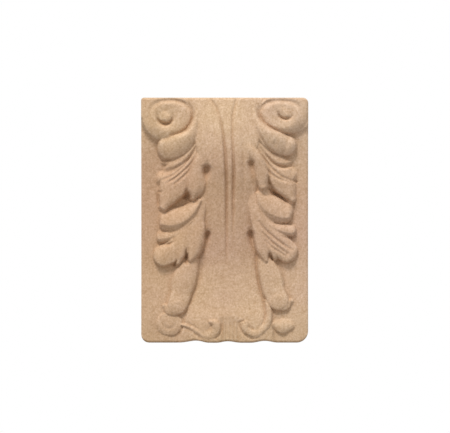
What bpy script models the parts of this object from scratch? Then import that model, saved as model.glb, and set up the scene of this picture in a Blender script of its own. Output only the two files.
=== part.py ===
"""Column capital: a pressed wood-flour capital with a flat back, for the head of a small pilaster.

The body is a bell that swells towards the top, with a volute in each upper corner, two tiers of
acanthus on each side and a hanging tongue that curls outward above the foot. Lengths are in metres,
+Z is up and the carved face looks along -Y.

The relief is drawn in its own units on a field that starts at FIELD_START, with X to the right and Z
up, and is stretched to WIDTH, HEIGHT and DEPTH. A leaf is laid along a smooth midrib that runs through
a few stations, and each cut is a groove along one.
"""
import math
from typing import NamedTuple

import bmesh
import bpy
import numpy as np

WIDTH = 0.060
HEIGHT = 0.088
DEPTH = 0.018
CORNER_RADII = {"top_left": 0.0010, "top_right": 0.0020, "foot_left": 0.0029, "foot_right": 0.0042}
ARRIS_ROLL = 0.0009
ARRIS_FALL = 0.00045
FOOT_FLATS = ((-26.6, -18.2), (-5.6, -2.8), (5.8, 9.4), (19.2, 24.4))
FOOT_RISES = (0.75, 0.50, 0.65)
FOOT_SKEWS = (1.5, 0.9, 1.0)

FIELD = (59.7, 87.5)
FIELD_START = (-29.6, 0.1)
CELL = 0.36
TRIANGLES = 9200
EDGE_EASE = 0.09
EDGE_POWER = 9
OUTLINE_STEPS = 400
PATH_STEPS = 90

GROUND = ((0, 12.3), (3, 12.3), (8, 12.3), (12, 12.0), (16, 11.6), (25, 10.9), (35, 10.9), (50, 11.1),
          (58, 11.5), (66, 12.2), (72, 12.8), (88, 13.0))
BELL = ((0, 14.5), (2, 14.5), (5, 14.5), (9, 14.1), (13, 13.2), (20, 12.2), (27, 11.85), (34, 12.25),
        (41, 13.1), (48, 14.2), (54, 15.3), (59, 16.5), (63, 17.4), (67, 17.9), (71, 18.0), (77, 17.6),
        (82, 16.9), (88, 15.9))
BELL_LEFT = ((0, -15.6), (3.5, -15.0), (5.5, -14.4), (7, -13.8), (9.5, -13.2), (14, -12.4),
             (20, -11.0), (28, -9.3), (36, -8.0), (46, -7.6), (52, -7.4), (58, -7.4), (66, -8.7),
             (71, -9.8), (77, -10.2), (82, -11.2), (88, -15))
BELL_RIGHT = ((0, 17.6), (3.5, 17.2), (7, 16.8), (10, 16.1), (14, 15.1), (20, 13.6), (28, 12.2),
              (36, 11.2), (46, 10.6), (52, 11.0), (58, 11.6), (64, 10.8), (68, 11.2), (71, 12.0),
              (74, 12.4), (77, 12.0), (82, 12.2), (88, 15))
BELL_CROWN = 1.2
BELL_FLANK = 1.6
WALL = 2.6
FILLET = 0.16
REED_MIDDLE = 2.2
REED_HALF = 4.4
REED_TOP = 9.8
REED_ARCH = 0.05
REED_EASE = (1.2, 3.2)
REED_PITCH = 1.35
REED_DEPTH = 0.18
REED_SINK = 0.5
VOLUTE_FILLET = 0.8


class Lobe(NamedTuple):
    """One leaf, curl or bead. A station is x, z, half width and height from the back.

    The crest lies at a share of the half width; upper and lower are the falls from it to the two edges,
    and a lower roundness folds the lower one more sharply. A blunter end has a flatter cap.
    """
    stations: tuple
    crest: float = 0.0
    upper: float = 0.5
    lower: float = 0.6
    roundness: float = 2.2
    blunt: float = 1.0
    wall: float = WALL


class Groove(NamedTuple):
    """One cut. A station is x, z, half width and depth of cut."""
    stations: tuple


class Pit(NamedTuple):
    """A drilled eye that is steep at its top and runs out below over its tail."""
    x: float
    z: float
    radius: float
    deep: float
    tail: float


class Volute(NamedTuple):
    """A coil in an upper corner: the discs it lies on, its inner end and the cuts that draw the spiral."""
    side: int
    eye: tuple
    ring: float
    discs: tuple
    inner_end: Lobe
    cuts: tuple


VOLUTE_HEIGHT = 16.1
VOLUTE_DISH = 0.55
VOLUTE_FALL = 1.7
VOLUTE_WALL = 1.9
VOLUTES = (
    Volute(-1, (-21.0, 80.8), 4.4, ((-20.5, 80.9, 8.6),),
           Lobe(((-21.2, 81.2, 1.9, 16.2), (-21.0, 80.7, 2.1, 16.3)), 0.0, 0.7, 1.5, 2.4),
           (Groove(((-25.6, 77.6, .8, .1), (-26.6, 80.4, .9, .25), (-25.8, 84.0, .9, .3),
                    (-23.1, 86.1, .9, .55), (-20.0, 86.6, .8, .75), (-16.2, 86.3, .8, .85),
                    (-13.2, 84.9, .9, .85), (-11.5, 82.6, .9, .75), (-11.2, 80.0, .9, .6),
                    (-12.4, 77.4, .8, .5), (-15.2, 75.2, .7, .5), (-18.5, 74.1, .7, .5))),
            Groove(((-23.7, 82.0, .5, .1), (-23.8, 80.5, .5, .5), (-22.9, 78.9, .6, 1.3),
                    (-21.1, 78.2, .7, 1.7), (-19.2, 78.8, .6, 1.4), (-18.3, 80.4, .5, .5),
                    (-18.4, 81.8, .5, .1))))),
    Volute(1, (21.6, 82.0), 4.3, ((18.9, 81.3, 6.7), (24.2, 82.7, 7.5)),
           Lobe(((19.2, 83.6, 1.1, 15.8), (20.6, 83.5, 1.4, 16.0), (21.9, 82.4, 1.5, 16.2),
                 (22.2, 81.9, 1.4, 16.2)), 0.0, 0.5, 1.0, 2.4),
           (Groove(((27.9, 79.6, .8, .1), (27.5, 82.8, .9, .3), (26.1, 85.0, .9, .5),
                    (23.6, 86.2, .9, .7), (20.4, 86.6, .9, .8), (17.0, 86.2, .9, .8),
                    (14.0, 84.8, .9, .75), (12.5, 82.8, .9, .7), (12.7, 80.4, .9, .6),
                    (14.2, 78.2, .7, .55), (17.5, 76.3, .7, .55), (20.8, 75.0, .7, .5))),
            Groove(((19.3, 82.4, .35, .3), (19.7, 81.2, .45, 1.0), (20.9, 80.2, .5, 1.3),
                    (22.6, 80.0, .5, 1.0), (24.0, 80.6, .5, .5), (24.6, 81.6, .5, .1))))),
)

UPPER_LEAVES = (
    # left: body, second fold, fan of flutes, finger and the fold under the volute
    Lobe(((-8.8, 75, 2.2, 15.6), (-10.9, 69, 3.8, 15.9), (-14.2, 62.4, 5.5, 15.4),
          (-18.0, 56.4, 5.0, 14.8), (-19.8, 52.9, 3.4, 14.4),
          (-21.7, 48.9, 1.5, 13.7)), -0.2, 1.7, 0.4, 2.2, 1.0, 2.3),
    Lobe(((-9.8, 71.4, 0.6, 16.2), (-12.8, 67.4, 1.0, 15.8), (-16.6, 64.9, 1.2, 14.5),
          (-20.0, 64.2, 1.1, 13.5), (-22.0, 64.4, 0.8, 12.6)), -0.1, 0.8, 0.9, 1.3, 1.0, 1.6),
    Lobe(((-11.0, 68.4, 2.0, 15.9), (-15.2, 63.6, 2.7, 15.2), (-19.2, 60.2, 2.5, 14.2),
          (-22.0, 58.9, 1.9, 13.2)), 0.0, 0.9, 0.6, 2.2, 1.1, 0.9),
    Lobe(((-7.6, 71, 1.0, 16.4), (-8.9, 65.4, 1.7, 16.9), (-9.5, 60.6, 2.6, 16.6),
          (-9.9, 56.6, 2.9, 16.3), (-10.3, 53.8, 2.3, 15.8), (-10.8, 51.9, 0.8, 15.0)), 0.0, 0.8, 0.6),
    Lobe(((-9.2, 84.0, 1.0, 15.9), (-9.9, 78.4, 1.4, 17.1), (-11.9, 73.8, 2.3, 17.8),
          (-15.0, 71.2, 3.4, 17.4), (-18.3, 69.9, 3.9, 16.4),
          (-20.4, 69.7, 3.9, 15.7)), 0.45, 0.9, 1.5, 2.2, 1.25),
    # right: the same in the same order
    Lobe(((9.8, 76, 2.2, 16.4), (12.4, 70, 3.8, 16.3), (16.4, 63.8, 5.3, 15.4),
          (20.4, 58.6, 4.8, 14.7), (22.5, 55.6, 3.6, 14.1),
          (24.4, 51.6, 1.7, 13.3)), -0.2, 2.3, 0.4, 2.2, 1.0, 2.0),
    Lobe(((12.4, 71.6, 0.6, 15.9), (15.2, 67.6, 0.9, 15.5), (18.2, 65.4, 1.1, 14.7),
          (21.3, 64.6, 1.2, 13.8), (23.4, 64.7, 0.9, 13.0)), -0.1, 0.8, 1.1, 1.3, 1.0, 1.8),
    Lobe(((12.9, 69.4, 2.0, 15.8), (16.8, 65.0, 3.0, 15.1), (21.4, 61.5, 3.1, 14.0),
          (23.6, 60.4, 2.6, 12.9)), 0.0, 0.9, 0.6, 2.2, 1.1, 1.0),
    Lobe(((7.8, 73.0, 0.9, 17.2), (9.2, 69.6, 1.3, 17.9), (11.4, 66.4, 1.8, 17.7),
          (13.0, 62.6, 2.1, 17.0), (13.6, 58.8, 2.1, 16.4), (13.9, 56.4, 1.5, 15.8)), 0.0, 0.7, 0.5),
    Lobe(((12.6, 56.0, 1.8, 14.1), (14.2, 53.8, 1.9, 14.1), (15.4, 52.4, 1.4, 13.6)), 0.0, 0.4, 0.6),
    Lobe(((10.2, 85, 1.0, 15.9), (11.2, 79.6, 1.4, 17.0), (13.7, 75.4, 2.3, 17.9),
          (16.8, 72.6, 3.2, 17.5), (20.0, 71.1, 3.5, 16.5),
          (22.2, 70.5, 3.3, 15.6)), 0.35, 0.9, 1.2, 2.2, 1.0),
)
UPPER_CUTS = (
    # soft hollows beside the fingers, under the drilled eyes
    Groove(((-6.1, 64.0, .8, .3), (-6.15, 63.0, 1.2, 1.3), (-6.2, 61.6, 1.3, 1.8),
            (-6.4, 60.0, 1.35, 1.2), (-6.8, 58.2, 1.3, .6), (-7.3, 56.2, 1.3, .3),
            (-8.2, 53.6, 1.2, .5), (-9.9, 50.4, 1.0, .6))),
    Groove(((9.4, 65.4, .9, .3), (9.6, 64.5, 1.1, 1.2), (9.8, 63.2, 1.2, 1.1), (10.2, 61.0, 1.2, .8),
            (10.7, 58.8, 1.1, .5), (11.2, 56.4, 1.0, .4), (12.2, 54.4, .7, .2))),
    # flutes and notches, left then right
    Groove(((-10.2, 69.6, .35, .2), (-12.8, 65.8, .45, .6), (-16.0, 63.2, .6, .8),
            (-18.6, 61.7, 1.0, 1.0), (-21.2, 61.1, 1.2, 1.0), (-23.0, 61.4, .8, .2))),
    Groove(((-10.6, 68.4, .35, .2), (-12.3, 66.0, .4, .5), (-14.8, 62.8, .42, .6),
            (-16.6, 61.2, .42, .6), (-18.4, 59.9, .42, .55), (-20.6, 58.8, .45, .4),
            (-22.4, 58.2, .4, .1))),
    Groove(((-10.2, 66.6, .35, .2), (-12.4, 63.4, .4, .5), (-15.1, 60.9, .42, .6),
            (-16.9, 59.4, .42, .6), (-18.8, 58.1, .45, .5), (-20.6, 57.1, .4, .15))),
    Groove(((-10.9, 64.2, .35, .2), (-13.2, 60.8, .42, .5), (-15.0, 59.0, .42, .5),
            (-16.6, 57.6, .45, .35), (-18.2, 56.4, .4, .1))),
    Groove(((-23.6, 54.0, .3, .3), (-22.9, 53.9, .35, .6), (-22.0, 54.0, .3, .1))),
    Groove(((-23.6, 53.0, .35, .3), (-23.6, 50.6, .35, .4), (-23.0, 48.2, .35, .2))),
    Groove(((-13.3, 55.6, .3, .1), (-13.6, 53.8, .45, 1.1), (-13.7, 52.0, .7, 1.2))),
    Groove(((13.2, 69.6, .35, .3), (15.4, 66.6, .45, .8), (18.2, 63.9, .6, 1.1), (21.4, 62.9, .7, 1.4),
            (23.8, 63.2, .6, .8))),
    Groove(((12.4, 68.4, .35, .2), (14.6, 65.6, .4, .6), (17.4, 62.2, .45, .6), (20.8, 59.4, .45, .5),
            (24.8, 57.9, .4, .4), (26.0, 57.5, .35, .6))),
    Groove(((13.8, 64.6, .35, .2), (15.4, 61.9, .4, .5), (18.0, 59.6, .4, .5), (21.4, 58.0, .45, .4),
            (24.4, 57.2, .4, .1))),
    Groove(((15.8, 59.6, .3, .2), (16.1, 57.8, .4, 1.2), (16.9, 55.6, .6, 1.6), (18.4, 53.6, .7, 1.6),
            (20.6, 52.0, .7, 1.3), (23.0, 50.6, .6, .9), (24.8, 49.6, .5, .5))),
    Groove(((11.7, 76.6, .3, .2), (12.7, 74.2, .4, .5), (14.3, 71.5, .4, .6), (16.4, 69.0, .4, .6),
            (19.0, 67.2, .4, .5))),
    Groove(((18.3, 72.6, .3, .1), (18.2, 71.0, .4, .35), (18.5, 69.2, .3, .1))),
)
UPPER_EYES = (Pit(-6.1, 62.2, 1.3, 0.6, 4.0), Pit(9.8, 64.2, 1.15, 0.4, 3.6))

LOWER_LEAVES = (
    # left: third fold, body, second fold, spur and finger
    Lobe(((-11.5, 43.7, 0.5, 14.3), (-15.5, 40.3, 1.2, 13.5), (-19, 38.4, 1.6, 13.0),
          (-22.6, 37.8, 1.9, 12.4)), -0.35, 0.9, 0.6, 1.3, 1.3),
    Lobe(((-7.8, 54, 1.8, 14.2), (-9.4, 46.5, 2.5, 14.1), (-12.3, 39.6, 4.0, 14.1),
          (-16.8, 33.8, 3.7, 13.9), (-21.9, 31.0, 3.5, 13.2)), -0.1, 1.2, 0.4, 2.2, 1.1, 3.2),
    Lobe(((-8.8, 51.2, 1.2, 15.2), (-12.0, 47.1, 2.7, 15.0), (-15.8, 44.8, 3.8, 14.6),
          (-19.6, 44.1, 4.1, 14.0), (-21.0, 44.1, 3.8, 13.6)), -0.5, 2.7, 1.4, 1.25, 1.6),
    Lobe(((-14.8, 34.6, 1.3, 14.1), (-15.8, 31.0, 1.2, 13.9), (-16.5, 28.8, 0.7, 13.4)), 0.0, 0.4, 0.4),
    Lobe(((-8.3, 46, 1.2, 13.6), (-9.3, 40.4, 2.2, 14.3), (-10.0, 36, 2.6, 14.3),
          (-10.9, 32.6, 2.0, 14.1), (-12.1, 29.8, 0.8, 13.7)), 0.0, 0.5, 0.4),
    # right: the same in the same order
    Lobe(((14, 43.9, 0.8, 14.3), (18.3, 41.3, 1.3, 13.8), (21.5, 40.4, 1.7, 13.5),
          (24.0, 40.1, 1.9, 13.1)), -0.35, 0.9, 0.9, 1.5, 1.2),
    Lobe(((9.8, 55, 1.8, 14.3), (11.8, 47.5, 2.8, 14.6), (14.8, 40.6, 4.0, 14.3),
          (19.4, 35.2, 4.3, 13.9), (23.0, 32.4, 3.6, 13.2)), -0.1, 1.3, 0.5, 2.2, 1.2, 3.2),
    Lobe(((12.2, 53.6, 1.2, 14.9), (14.2, 50.6, 3.2, 15.1), (17.4, 48.2, 4.2, 14.8),
          (20.4, 47.0, 4.2, 14.2), (22.2, 46.7, 3.8, 13.8)), -0.5, 1.9, 1.4, 1.25, 1.6),
    Lobe(((16.6, 34.4, 1.2, 14.1), (17.5, 32.0, 0.9, 13.8), (18.1, 30.2, 0.5, 13.3)), 0.0, 0.4, 0.4),
    Lobe(((11.0, 46, 1.2, 13.9), (12.4, 41, 2.0, 14.4), (13.4, 36.5, 2.2, 14.3),
          (14.1, 32.6, 1.8, 14.1), (15.0, 29.6, 0.7, 13.6)), 0.0, 0.5, 0.4),
)
LOWER_CUTS = (
    # soft hollows beside the fingers, under the drilled eyes
    Groove(((-5.5, 40.2, .7, .3), (-5.8, 39.3, .9, 1.2), (-6.2, 37.9, 1.1, 1.6),
            (-6.8, 36.0, 1.0, 1.2), (-7.6, 33.8, .9, .8), (-8.7, 30.8, .9, .6))),
    Groove(((9.3, 40.3, .9, .3), (9.6, 39.3, 1.1, 1.3), (9.9, 37.8, 1.2, 1.4), (10.2, 35.8, 1.1, 1.0),
            (10.8, 33.4, .9, .6), (12.2, 30.4, .8, .5))),
    # hollow beside each tongue
    Groove(((-7.4, 30.0, .9, .2), (-8.2, 26.2, 1.2, .4), (-9.6, 21.4, 1.0, .5), (-11.2, 17.2, .7, .6),
            (-12.3, 13.8, .5, .4))),
    Groove(((11.4, 31.0, .6, .3), (11.8, 27.0, .6, .7), (12.7, 21.4, .65, 1.0), (13.7, 17.4, .6, .9),
            (14.6, 14.6, .5, .5))),
    # notches and flutes, left then right
    Groove(((-13.4, 34.0, .3, .1), (-13.6, 32.2, .35, 1.3), (-13.4, 30.6, .5, 1.7),
            (-13.4, 29.2, .8, 1.2))),
    Groove(((-16.9, 30.0, .25, .1), (-17.2, 28.9, .3, 1.0), (-17.7, 27.8, .4, 1.0))),
    Groove(((-18.2, 36.0, .4, .3), (-19.8, 35.3, .5, 1.0), (-21.8, 35.2, .6, .6), (-23.6, 35.5, .7, .2))),
    Groove(((12.4, 43.4, .35, .3), (15.0, 40.2, .45, .6), (17.7, 37.8, .45, .6),
            (21.6, 34.9, .45, .55), (24.4, 33.2, .4, .2))),
    Groove(((13.8, 39.4, .35, .3), (16.4, 36.7, .45, .5), (19.3, 34.3, .45, .5), (22.8, 31.8, .4, .3))),
    Groove(((14.8, 36.6, .35, .3), (17.0, 34.4, .4, .4), (20.0, 32.4, .4, .4), (22.2, 31.1, .4, .2))),
    Groove(((16.3, 33.0, .25, .1), (16.7, 31.5, .35, 1.1), (17.4, 29.8, .45, 1.3))),
    Groove(((19.0, 31.0, .25, .1), (19.4, 30.1, .3, .7), (19.9, 29.3, .4, .6))),
    Groove(((21.2, 38.0, .4, .2), (23.2, 37.5, .5, .6), (25.4, 37.9, .6, .3))),
)
LOWER_EYES = (Pit(-5.9, 38.8, 1.0, 0.4, 4.0), Pit(9.7, 38.9, 1.3, 0.45, 4.4))

TONGUES = (
    # left tongue, its lower end and its curl, then the right ones
    Lobe(((-11.0, 31.5, 1.6, 12.6), (-12.6, 26.5, 3.1, 13.0), (-14.3, 21.5, 3.8, 13.3),
          (-15.2, 17.5, 3.4, 13.3)), 0.0, 0.5, 0.7, 2.2, 1.0, 1.6),
    Lobe(((-14.4, 22.5, 3.2, 12.7), (-15.1, 18.5, 3.4, 13.2), (-15.9, 15.6, 3.4, 13.6),
          (-16.7, 13.4, 3.2, 13.9)), 0.0, 0.4, 0.5, 2.2, 1.0, 3.0),
    Lobe(((-16.9, 13.2, 3.0, 13.9), (-19.2, 12.2, 2.2, 13.6),
          (-21.2, 13.2, 0.9, 12.6)), 0.3, 0.9, 0.4, 2.2, 1.0, 3.0),
    Lobe(((13.8, 31.5, 1.6, 12.6), (15.5, 26.6, 3.1, 13.1), (16.9, 22.3, 3.7, 13.3),
          (17.5, 18.6, 3.5, 13.4)), 0.0, 0.5, 0.5, 2.2, 1.0, 1.6),
    Lobe(((17.0, 22.5, 3.3, 12.8), (17.6, 19.5, 3.4, 13.3), (18.5, 17.0, 3.5, 13.6),
          (19.4, 15.2, 3.4, 13.9)), 0.0, 0.4, 0.5, 2.2, 1.0, 3.0),
    Lobe(((19.6, 15.0, 3.1, 13.9), (21.8, 14.0, 2.2, 13.6),
          (23.8, 14.9, 0.9, 12.7)), 0.3, 0.9, 0.4, 2.2, 1.0, 3.0),
)

FOOT_LOBES = (
    # left bead, rim of the skirt and scroll
    Lobe(((-18.9, 6.6, 3.9, 13.2), (-20.3, 6.8, 3.9, 13.0)), -0.2, 0.4, 0.5, 2.4, 1.0, 3.0),
    Lobe(((-15.0, 6.5, 0.3, 13.6), (-13.2, 6.0, 0.45, 13.9), (-11.2, 5.0, 0.55, 14.1),
          (-9.4, 3.8, 0.7, 14.3)), 0.0, 0.2, 0.2),
    Lobe(((-9.6, 4.2, 0.6, 14.3), (-7, 2.6, 1.0, 14.5), (-4.3, 2.8, 1.4, 14.8), (-2.7, 4.8, 1.4, 15.1),
          (-3.3, 7.0, 1.2, 15.2), (-4.8, 7.7, 0.6, 14.9)), 0.0, 0.3, 0.4),
    # the same on the right
    Lobe(((18.4, 6.8, 1.6, 13.2), (20.6, 6.1, 2.6, 13.6),
          (23.0, 6.5, 2.2, 13.2)), -0.2, 1.1, 0.5, 2.0, 1.0, 3.0),
    Lobe(((15.0, 15.0, 0.4, 13.0), (15.8, 12.4, 0.8, 13.6), (16.0, 9.4, 1.0, 13.9),
          (15.3, 6.6, 1.1, 14.1), (13.6, 4.7, 1.1, 14.2)), 0.0, 0.4, 0.3),
    Lobe(((13.8, 4.4, 0.9, 14.3), (11.4, 3.2, 1.3, 14.6), (9.0, 3.4, 1.5, 14.9), (7.6, 5.2, 1.3, 15.1),
          (7.5, 7.0, 0.9, 15.1)), 0.0, 0.3, 0.4),
)
FOOT_CUTS = (
    # ring of the left bead, edges of the rims and turns of the scrolls
    Groove(((-22.3, 8.4, .4, .1), (-22.0, 6.5, .6, .2), (-20.2, 5.2, .6, .25), (-18.2, 5.6, .6, .2),
            (-17.1, 7.4, .4, .1))),
    Groove(((-14.8, 5.2, .5, .15), (-12.8, 4.8, .6, .2), (-10.8, 3.6, .6, .25), (-8.6, 1.8, .6, .35))),
    Groove(((-14.0, 7.2, .4, .2), (-12.0, 6.6, .4, .3), (-9.6, 5.2, .4, .2))),
    Groove(((-6.2, 4.8, .7, .2), (-5.2, 5.2, .8, .35), (-4.6, 6.2, .6, .3))),
    Groove(((-1.2, 8.2, .4, .2), (-0.9, 6.0, .4, .4), (-1.4, 3.6, .4, .4), (-2.8, 1.8, .4, .3))),
    Groove(((9.2, 5.6, .6, .3), (10.2, 5.0, .6, .3))),
    Groove(((5.6, 7.4, .4, .4), (5.9, 5.2, .45, .6), (7.2, 3.2, .5, .6), (10.0, 1.7, .5, .4))),
    Groove(((6.1, 7.7, .35, .3), (7.0, 7.8, .4, .5), (7.8, 7.0, .4, .3))),
    Groove(((14.2, 14.4, .35, .4), (14.9, 11.8, .4, .5), (14.7, 9.2, .4, .45), (13.9, 7.2, .35, .3),
            (12.6, 5.8, .3, .1))),
)

# two stems that run down the bell, and the sunk strip between them
STEM_CUTS = (
    Groove(((-5.8, 87.9, .4, .3), (-3.3, 85.0, .45, .5), (-1.7, 81.3, .4, .55), (-0.6, 76.4, .45, .8),
            (0.4, 68, .6, 1.2), (0.8, 60, .6, 1.35), (0.95, 50, .55, 1.2), (0.95, 42, .5, .85),
            (0.9, 34, .4, .5), (0.9, 27, .3, .1))),
    Groove(((4.75, 87.9, .4, .3), (3.5, 83.5, .45, .5), (3.0, 78, .45, .65), (3.2, 70, .5, .9),
            (3.5, 62, .6, 1.3), (3.4, 54, .6, 1.25), (3.3, 48, .5, .9), (3.2, 42, .4, .4),
            (3.1, 37, .3, .1))),
    Groove(((1.2, 84, .9, .05), (1.4, 76, 1.1, .2), (2.0, 66, 1.2, .3), (2.2, 56, 1.2, .3),
            (2.2, 46, 1.0, .05))),
    Groove(((-3.6, 82, .5, .05), (-3.7, 74, .6, .2), (-3.5, 64, .6, .25), (-3.4, 54, .5, .05))),
    Groove(((-5.3, 80, .5, .05), (-5.6, 73, .6, .2), (-5.0, 66, .5, .1))),
    Groove(((6.5, 76, .5, .05), (6.8, 70, .6, .2), (7.0, 60, .6, .25), (7.2, 50, .5, .05))),
)

LEAVES = UPPER_LEAVES + LOWER_LEAVES + TONGUES + FOOT_LOBES
GROOVES = UPPER_CUTS + LOWER_CUTS + FOOT_CUTS + STEM_CUTS
PITS = UPPER_EYES + LOWER_EYES


def curve(knots, at):
    """Smooth curve through the knots, read at each value of an array."""
    x, y = np.asarray(knots, float).T
    slope = np.gradient(y, x)
    i = np.clip(np.searchsorted(x, at) - 1, 0, len(x) - 2)
    gap = x[i + 1] - x[i]
    t = np.clip((at - x[i]) / gap, 0, 1)
    return ((2 * t**3 - 3 * t**2 + 1) * y[i] + (t**3 - 2 * t**2 + t) * gap * slope[i]
            + (3 * t**2 - 2 * t**3) * y[i + 1] + (t**3 - t**2) * gap * slope[i + 1])


def midrib(stations):
    """Evenly stepped points along a smooth line through the stations, with their other columns."""
    rows = np.asarray(stations, float)
    along = np.concatenate([[0], np.cumsum(np.hypot(*np.diff(rows[:, :2], axis=0).T))])
    steps = np.linspace(0, along[-1], PATH_STEPS)
    return np.stack([curve(np.stack([along, column], 1), steps) for column in rows.T], 1)


def follow(x, z, stations):
    """Distance to the left of a midrib, distance past its ends, and its two other columns there."""
    path = midrib(stations)
    heading = np.gradient(path[:, :2], axis=0)
    heading /= np.linalg.norm(heading, axis=1)[:, None]
    points = np.stack([x, z], 1)
    k = ((points[:, None] - path[None, :, :2]) ** 2).sum(2).argmin(1)
    offset, along = points - path[k, :2], heading[k]
    ahead = (offset * along).sum(1)
    across = along[:, 0] * offset[:, 1] - along[:, 1] * offset[:, 0]
    last = len(path) - 1
    past = np.where(k == last, np.maximum(ahead, 0), 0) + np.where(k == 0, np.maximum(-ahead, 0), 0)
    step = np.linalg.norm(path[1, :2] - path[0, :2])
    row = np.clip(k + ahead / step, 0, last)
    return across, past, [np.interp(row, np.arange(last + 1), path[:, c]) for c in (2, 3)]


def reach(x, z, stations, margin):
    """Mask of the points that lie near the stations."""
    rows = np.asarray(stations, float)
    margin += rows[:, 2].max()
    low, high = rows[:, :2].min(0) - margin, rows[:, :2].max(0) + margin
    return (x > low[0]) & (x < high[0]) & (z > low[1]) & (z < high[1])


def soft_max(a, b, blend=FILLET):
    """The larger of two surfaces, with their meeting line filleted."""
    return 0.5 * (a + b + np.sqrt((a - b) ** 2 + blend * blend))


def lay_lobe(height, x, z, lobe):
    """Raises one leaf out of the surface: rounded over its crest, with a steep wall all round."""
    near = reach(x, z, lobe.stations, 2.5)
    across, past, (half, level) = follow(x[near], z[near], lobe.stations)
    if lobe.stations[-1][0] < lobe.stations[0][0]:
        across = -across
    half = np.maximum(half, 0.2)
    radial = np.hypot(across, past * lobe.blunt) / half
    side = np.clip(across / half, -1, 1)
    bend = np.where(side > lobe.crest, (side - lobe.crest) / (1 - lobe.crest),
                    (lobe.crest - side) / (1 + lobe.crest))
    capped = (np.minimum(radial, 1) ** 2 - side**2) / np.maximum(1 - side**2, 1e-6)
    bend += (1 - bend) * np.clip(capped, 0, 1)
    fall = lobe.lower + (lobe.upper - lobe.lower) * (0.5 + 0.5 * np.tanh((side - lobe.crest) / 0.25))
    power = np.where(side > lobe.crest, 2.2, lobe.roundness)
    top = level - fall * bend**power - lobe.wall * half * np.maximum(radial - 1, 0)
    height[near] = soft_max(height[near], top)


def cut_groove(height, x, z, groove):
    """Cuts one rounded groove."""
    near = reach(x, z, groove.stations, 2.0)
    across, past, (half, deep) = follow(x[near], z[near], groove.stations)
    height[near] -= deep * np.exp(-(np.hypot(across, past) / half) ** 2)


def drill_pit(height, x, z, pit):
    """Cuts one drilled eye."""
    rise = z - pit.z
    radial = np.hypot(x - pit.x, np.where(rise > 0, rise, 0.3 * rise)) / pit.radius
    mouth = 1 / (1 + np.exp(np.minimum((radial - 0.95) / 0.13, 50)))
    height -= pit.deep * mouth * np.clip(1 + np.minimum(rise, 0) / pit.tail, 0, 1)


def raise_volute(height, x, z, volute):
    """Lays a coil on its discs, fills the corner above it, cuts the spiral and raises its inner end."""
    beyond = np.min([np.hypot(x - at_x, z - at_z) - radius for at_x, at_z, radius in volute.discs], 0)
    last_x, last_z, last_r = volute.discs[-1]
    beyond_corner = np.maximum(last_z - 0.5 - z, (last_x - x) * volute.side)
    beyond = np.maximum(np.minimum(beyond, beyond_corner), 0)
    eye_x, eye_z = volute.eye
    radial = np.hypot(x - eye_x, z - eye_z)
    angle = np.arctan2(z - eye_z, (x - eye_x) * volute.side)
    low, inward = 0.5 - 0.5 * np.sin(angle), 0.5 - 0.5 * np.cos(angle)
    crest = volute.ring * (1 + 0.25 * inward)
    dish = VOLUTE_DISH * np.clip(1 - radial / crest, 0, 1)
    fall = 0.25 + VOLUTE_FALL * low**2
    fall *= np.clip((radial - crest) / (last_r - volute.ring), 0, 1.3) ** 1.7
    height[:] = soft_max(height, VOLUTE_HEIGHT - dish - fall - VOLUTE_WALL * beyond, VOLUTE_FILLET)
    for groove in volute.cuts:
        cut_groove(height, x, z, groove)
    lay_lobe(height, x, z, volute.inner_end)


def relief(x, z):
    """Height of the face above the flat back, in drawn units, at flat arrays of x and z."""
    left, right = curve(BELL_LEFT, z), curve(BELL_RIGHT, z)
    middle, breadth = (left + right) / 2, (right - left) / 2
    aside = np.abs(x - middle)
    bell = (curve(BELL, z) - BELL_CROWN * np.minimum(aside / breadth, 1) ** 2.5
            - BELL_FLANK * np.maximum(aside - breadth, 0))
    from_reeds = x - REED_MIDDLE
    reeded = (np.clip((REED_TOP - REED_ARCH * from_reeds**2 - z) / REED_EASE[1], 0, 1)
              * np.clip((REED_HALF - np.abs(from_reeds)) / REED_EASE[0], 0, 1))
    bell -= reeded * (REED_SINK + REED_DEPTH * np.cos(2 * math.pi * from_reeds / REED_PITCH))
    height = soft_max(curve(GROUND, z), bell, 0.5)
    for volute in VOLUTES:
        raise_volute(height, x, z, volute)
    for lobe in LEAVES:
        lay_lobe(height, x, z, lobe)
    for groove in GROOVES:
        cut_groove(height, x, z, groove)
    for pit in PITS:
        drill_pit(height, x, z, pit)
    return height


def corner(x, radius, side):
    """How far a rounded corner lifts the outline at x."""
    inset = np.clip(radius - (WIDTH / 2 - side * x), 0, radius)
    return radius - np.sqrt(radius**2 - inset**2)


def foot_line(x):
    """Lower outline: flats that stand on the floor, with a shallow rise between each two."""
    scale_x, scale_z = WIDTH / FIELD[0], HEIGHT / FIELD[1]
    line = corner(x, CORNER_RADII["foot_left"], -1) + corner(x, CORNER_RADII["foot_right"], 1)
    for (_, start), (end, _), rise, skew in zip(FOOT_FLATS, FOOT_FLATS[1:], FOOT_RISES, FOOT_SKEWS):
        t = np.clip((x / scale_x - start) / (end - start), 0, 1)
        line = line + rise * scale_z * np.sin(math.pi * t**skew) ** 2
    return line


def head_line(x):
    """Upper outline: straight, with two rounded corners."""
    return HEIGHT - corner(x, CORNER_RADII["top_left"], -1) - corner(x, CORNER_RADII["top_right"], 1)


def eased(t):
    """Spreads even steps from -1 to 1 so that they crowd towards both ends."""
    return (1 + EDGE_EASE) * t - EDGE_EASE * t**EDGE_POWER


def outline():
    """Closed line round the face, as an array of x and z."""
    x = eased(np.linspace(-1, 1, OUTLINE_STEPS)) * WIDTH / 2
    foot, head = np.stack([x, foot_line(x)], 1), np.stack([x, head_line(x)], 1)
    return np.concatenate([foot, head[::-1], foot[:1]])


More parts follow.
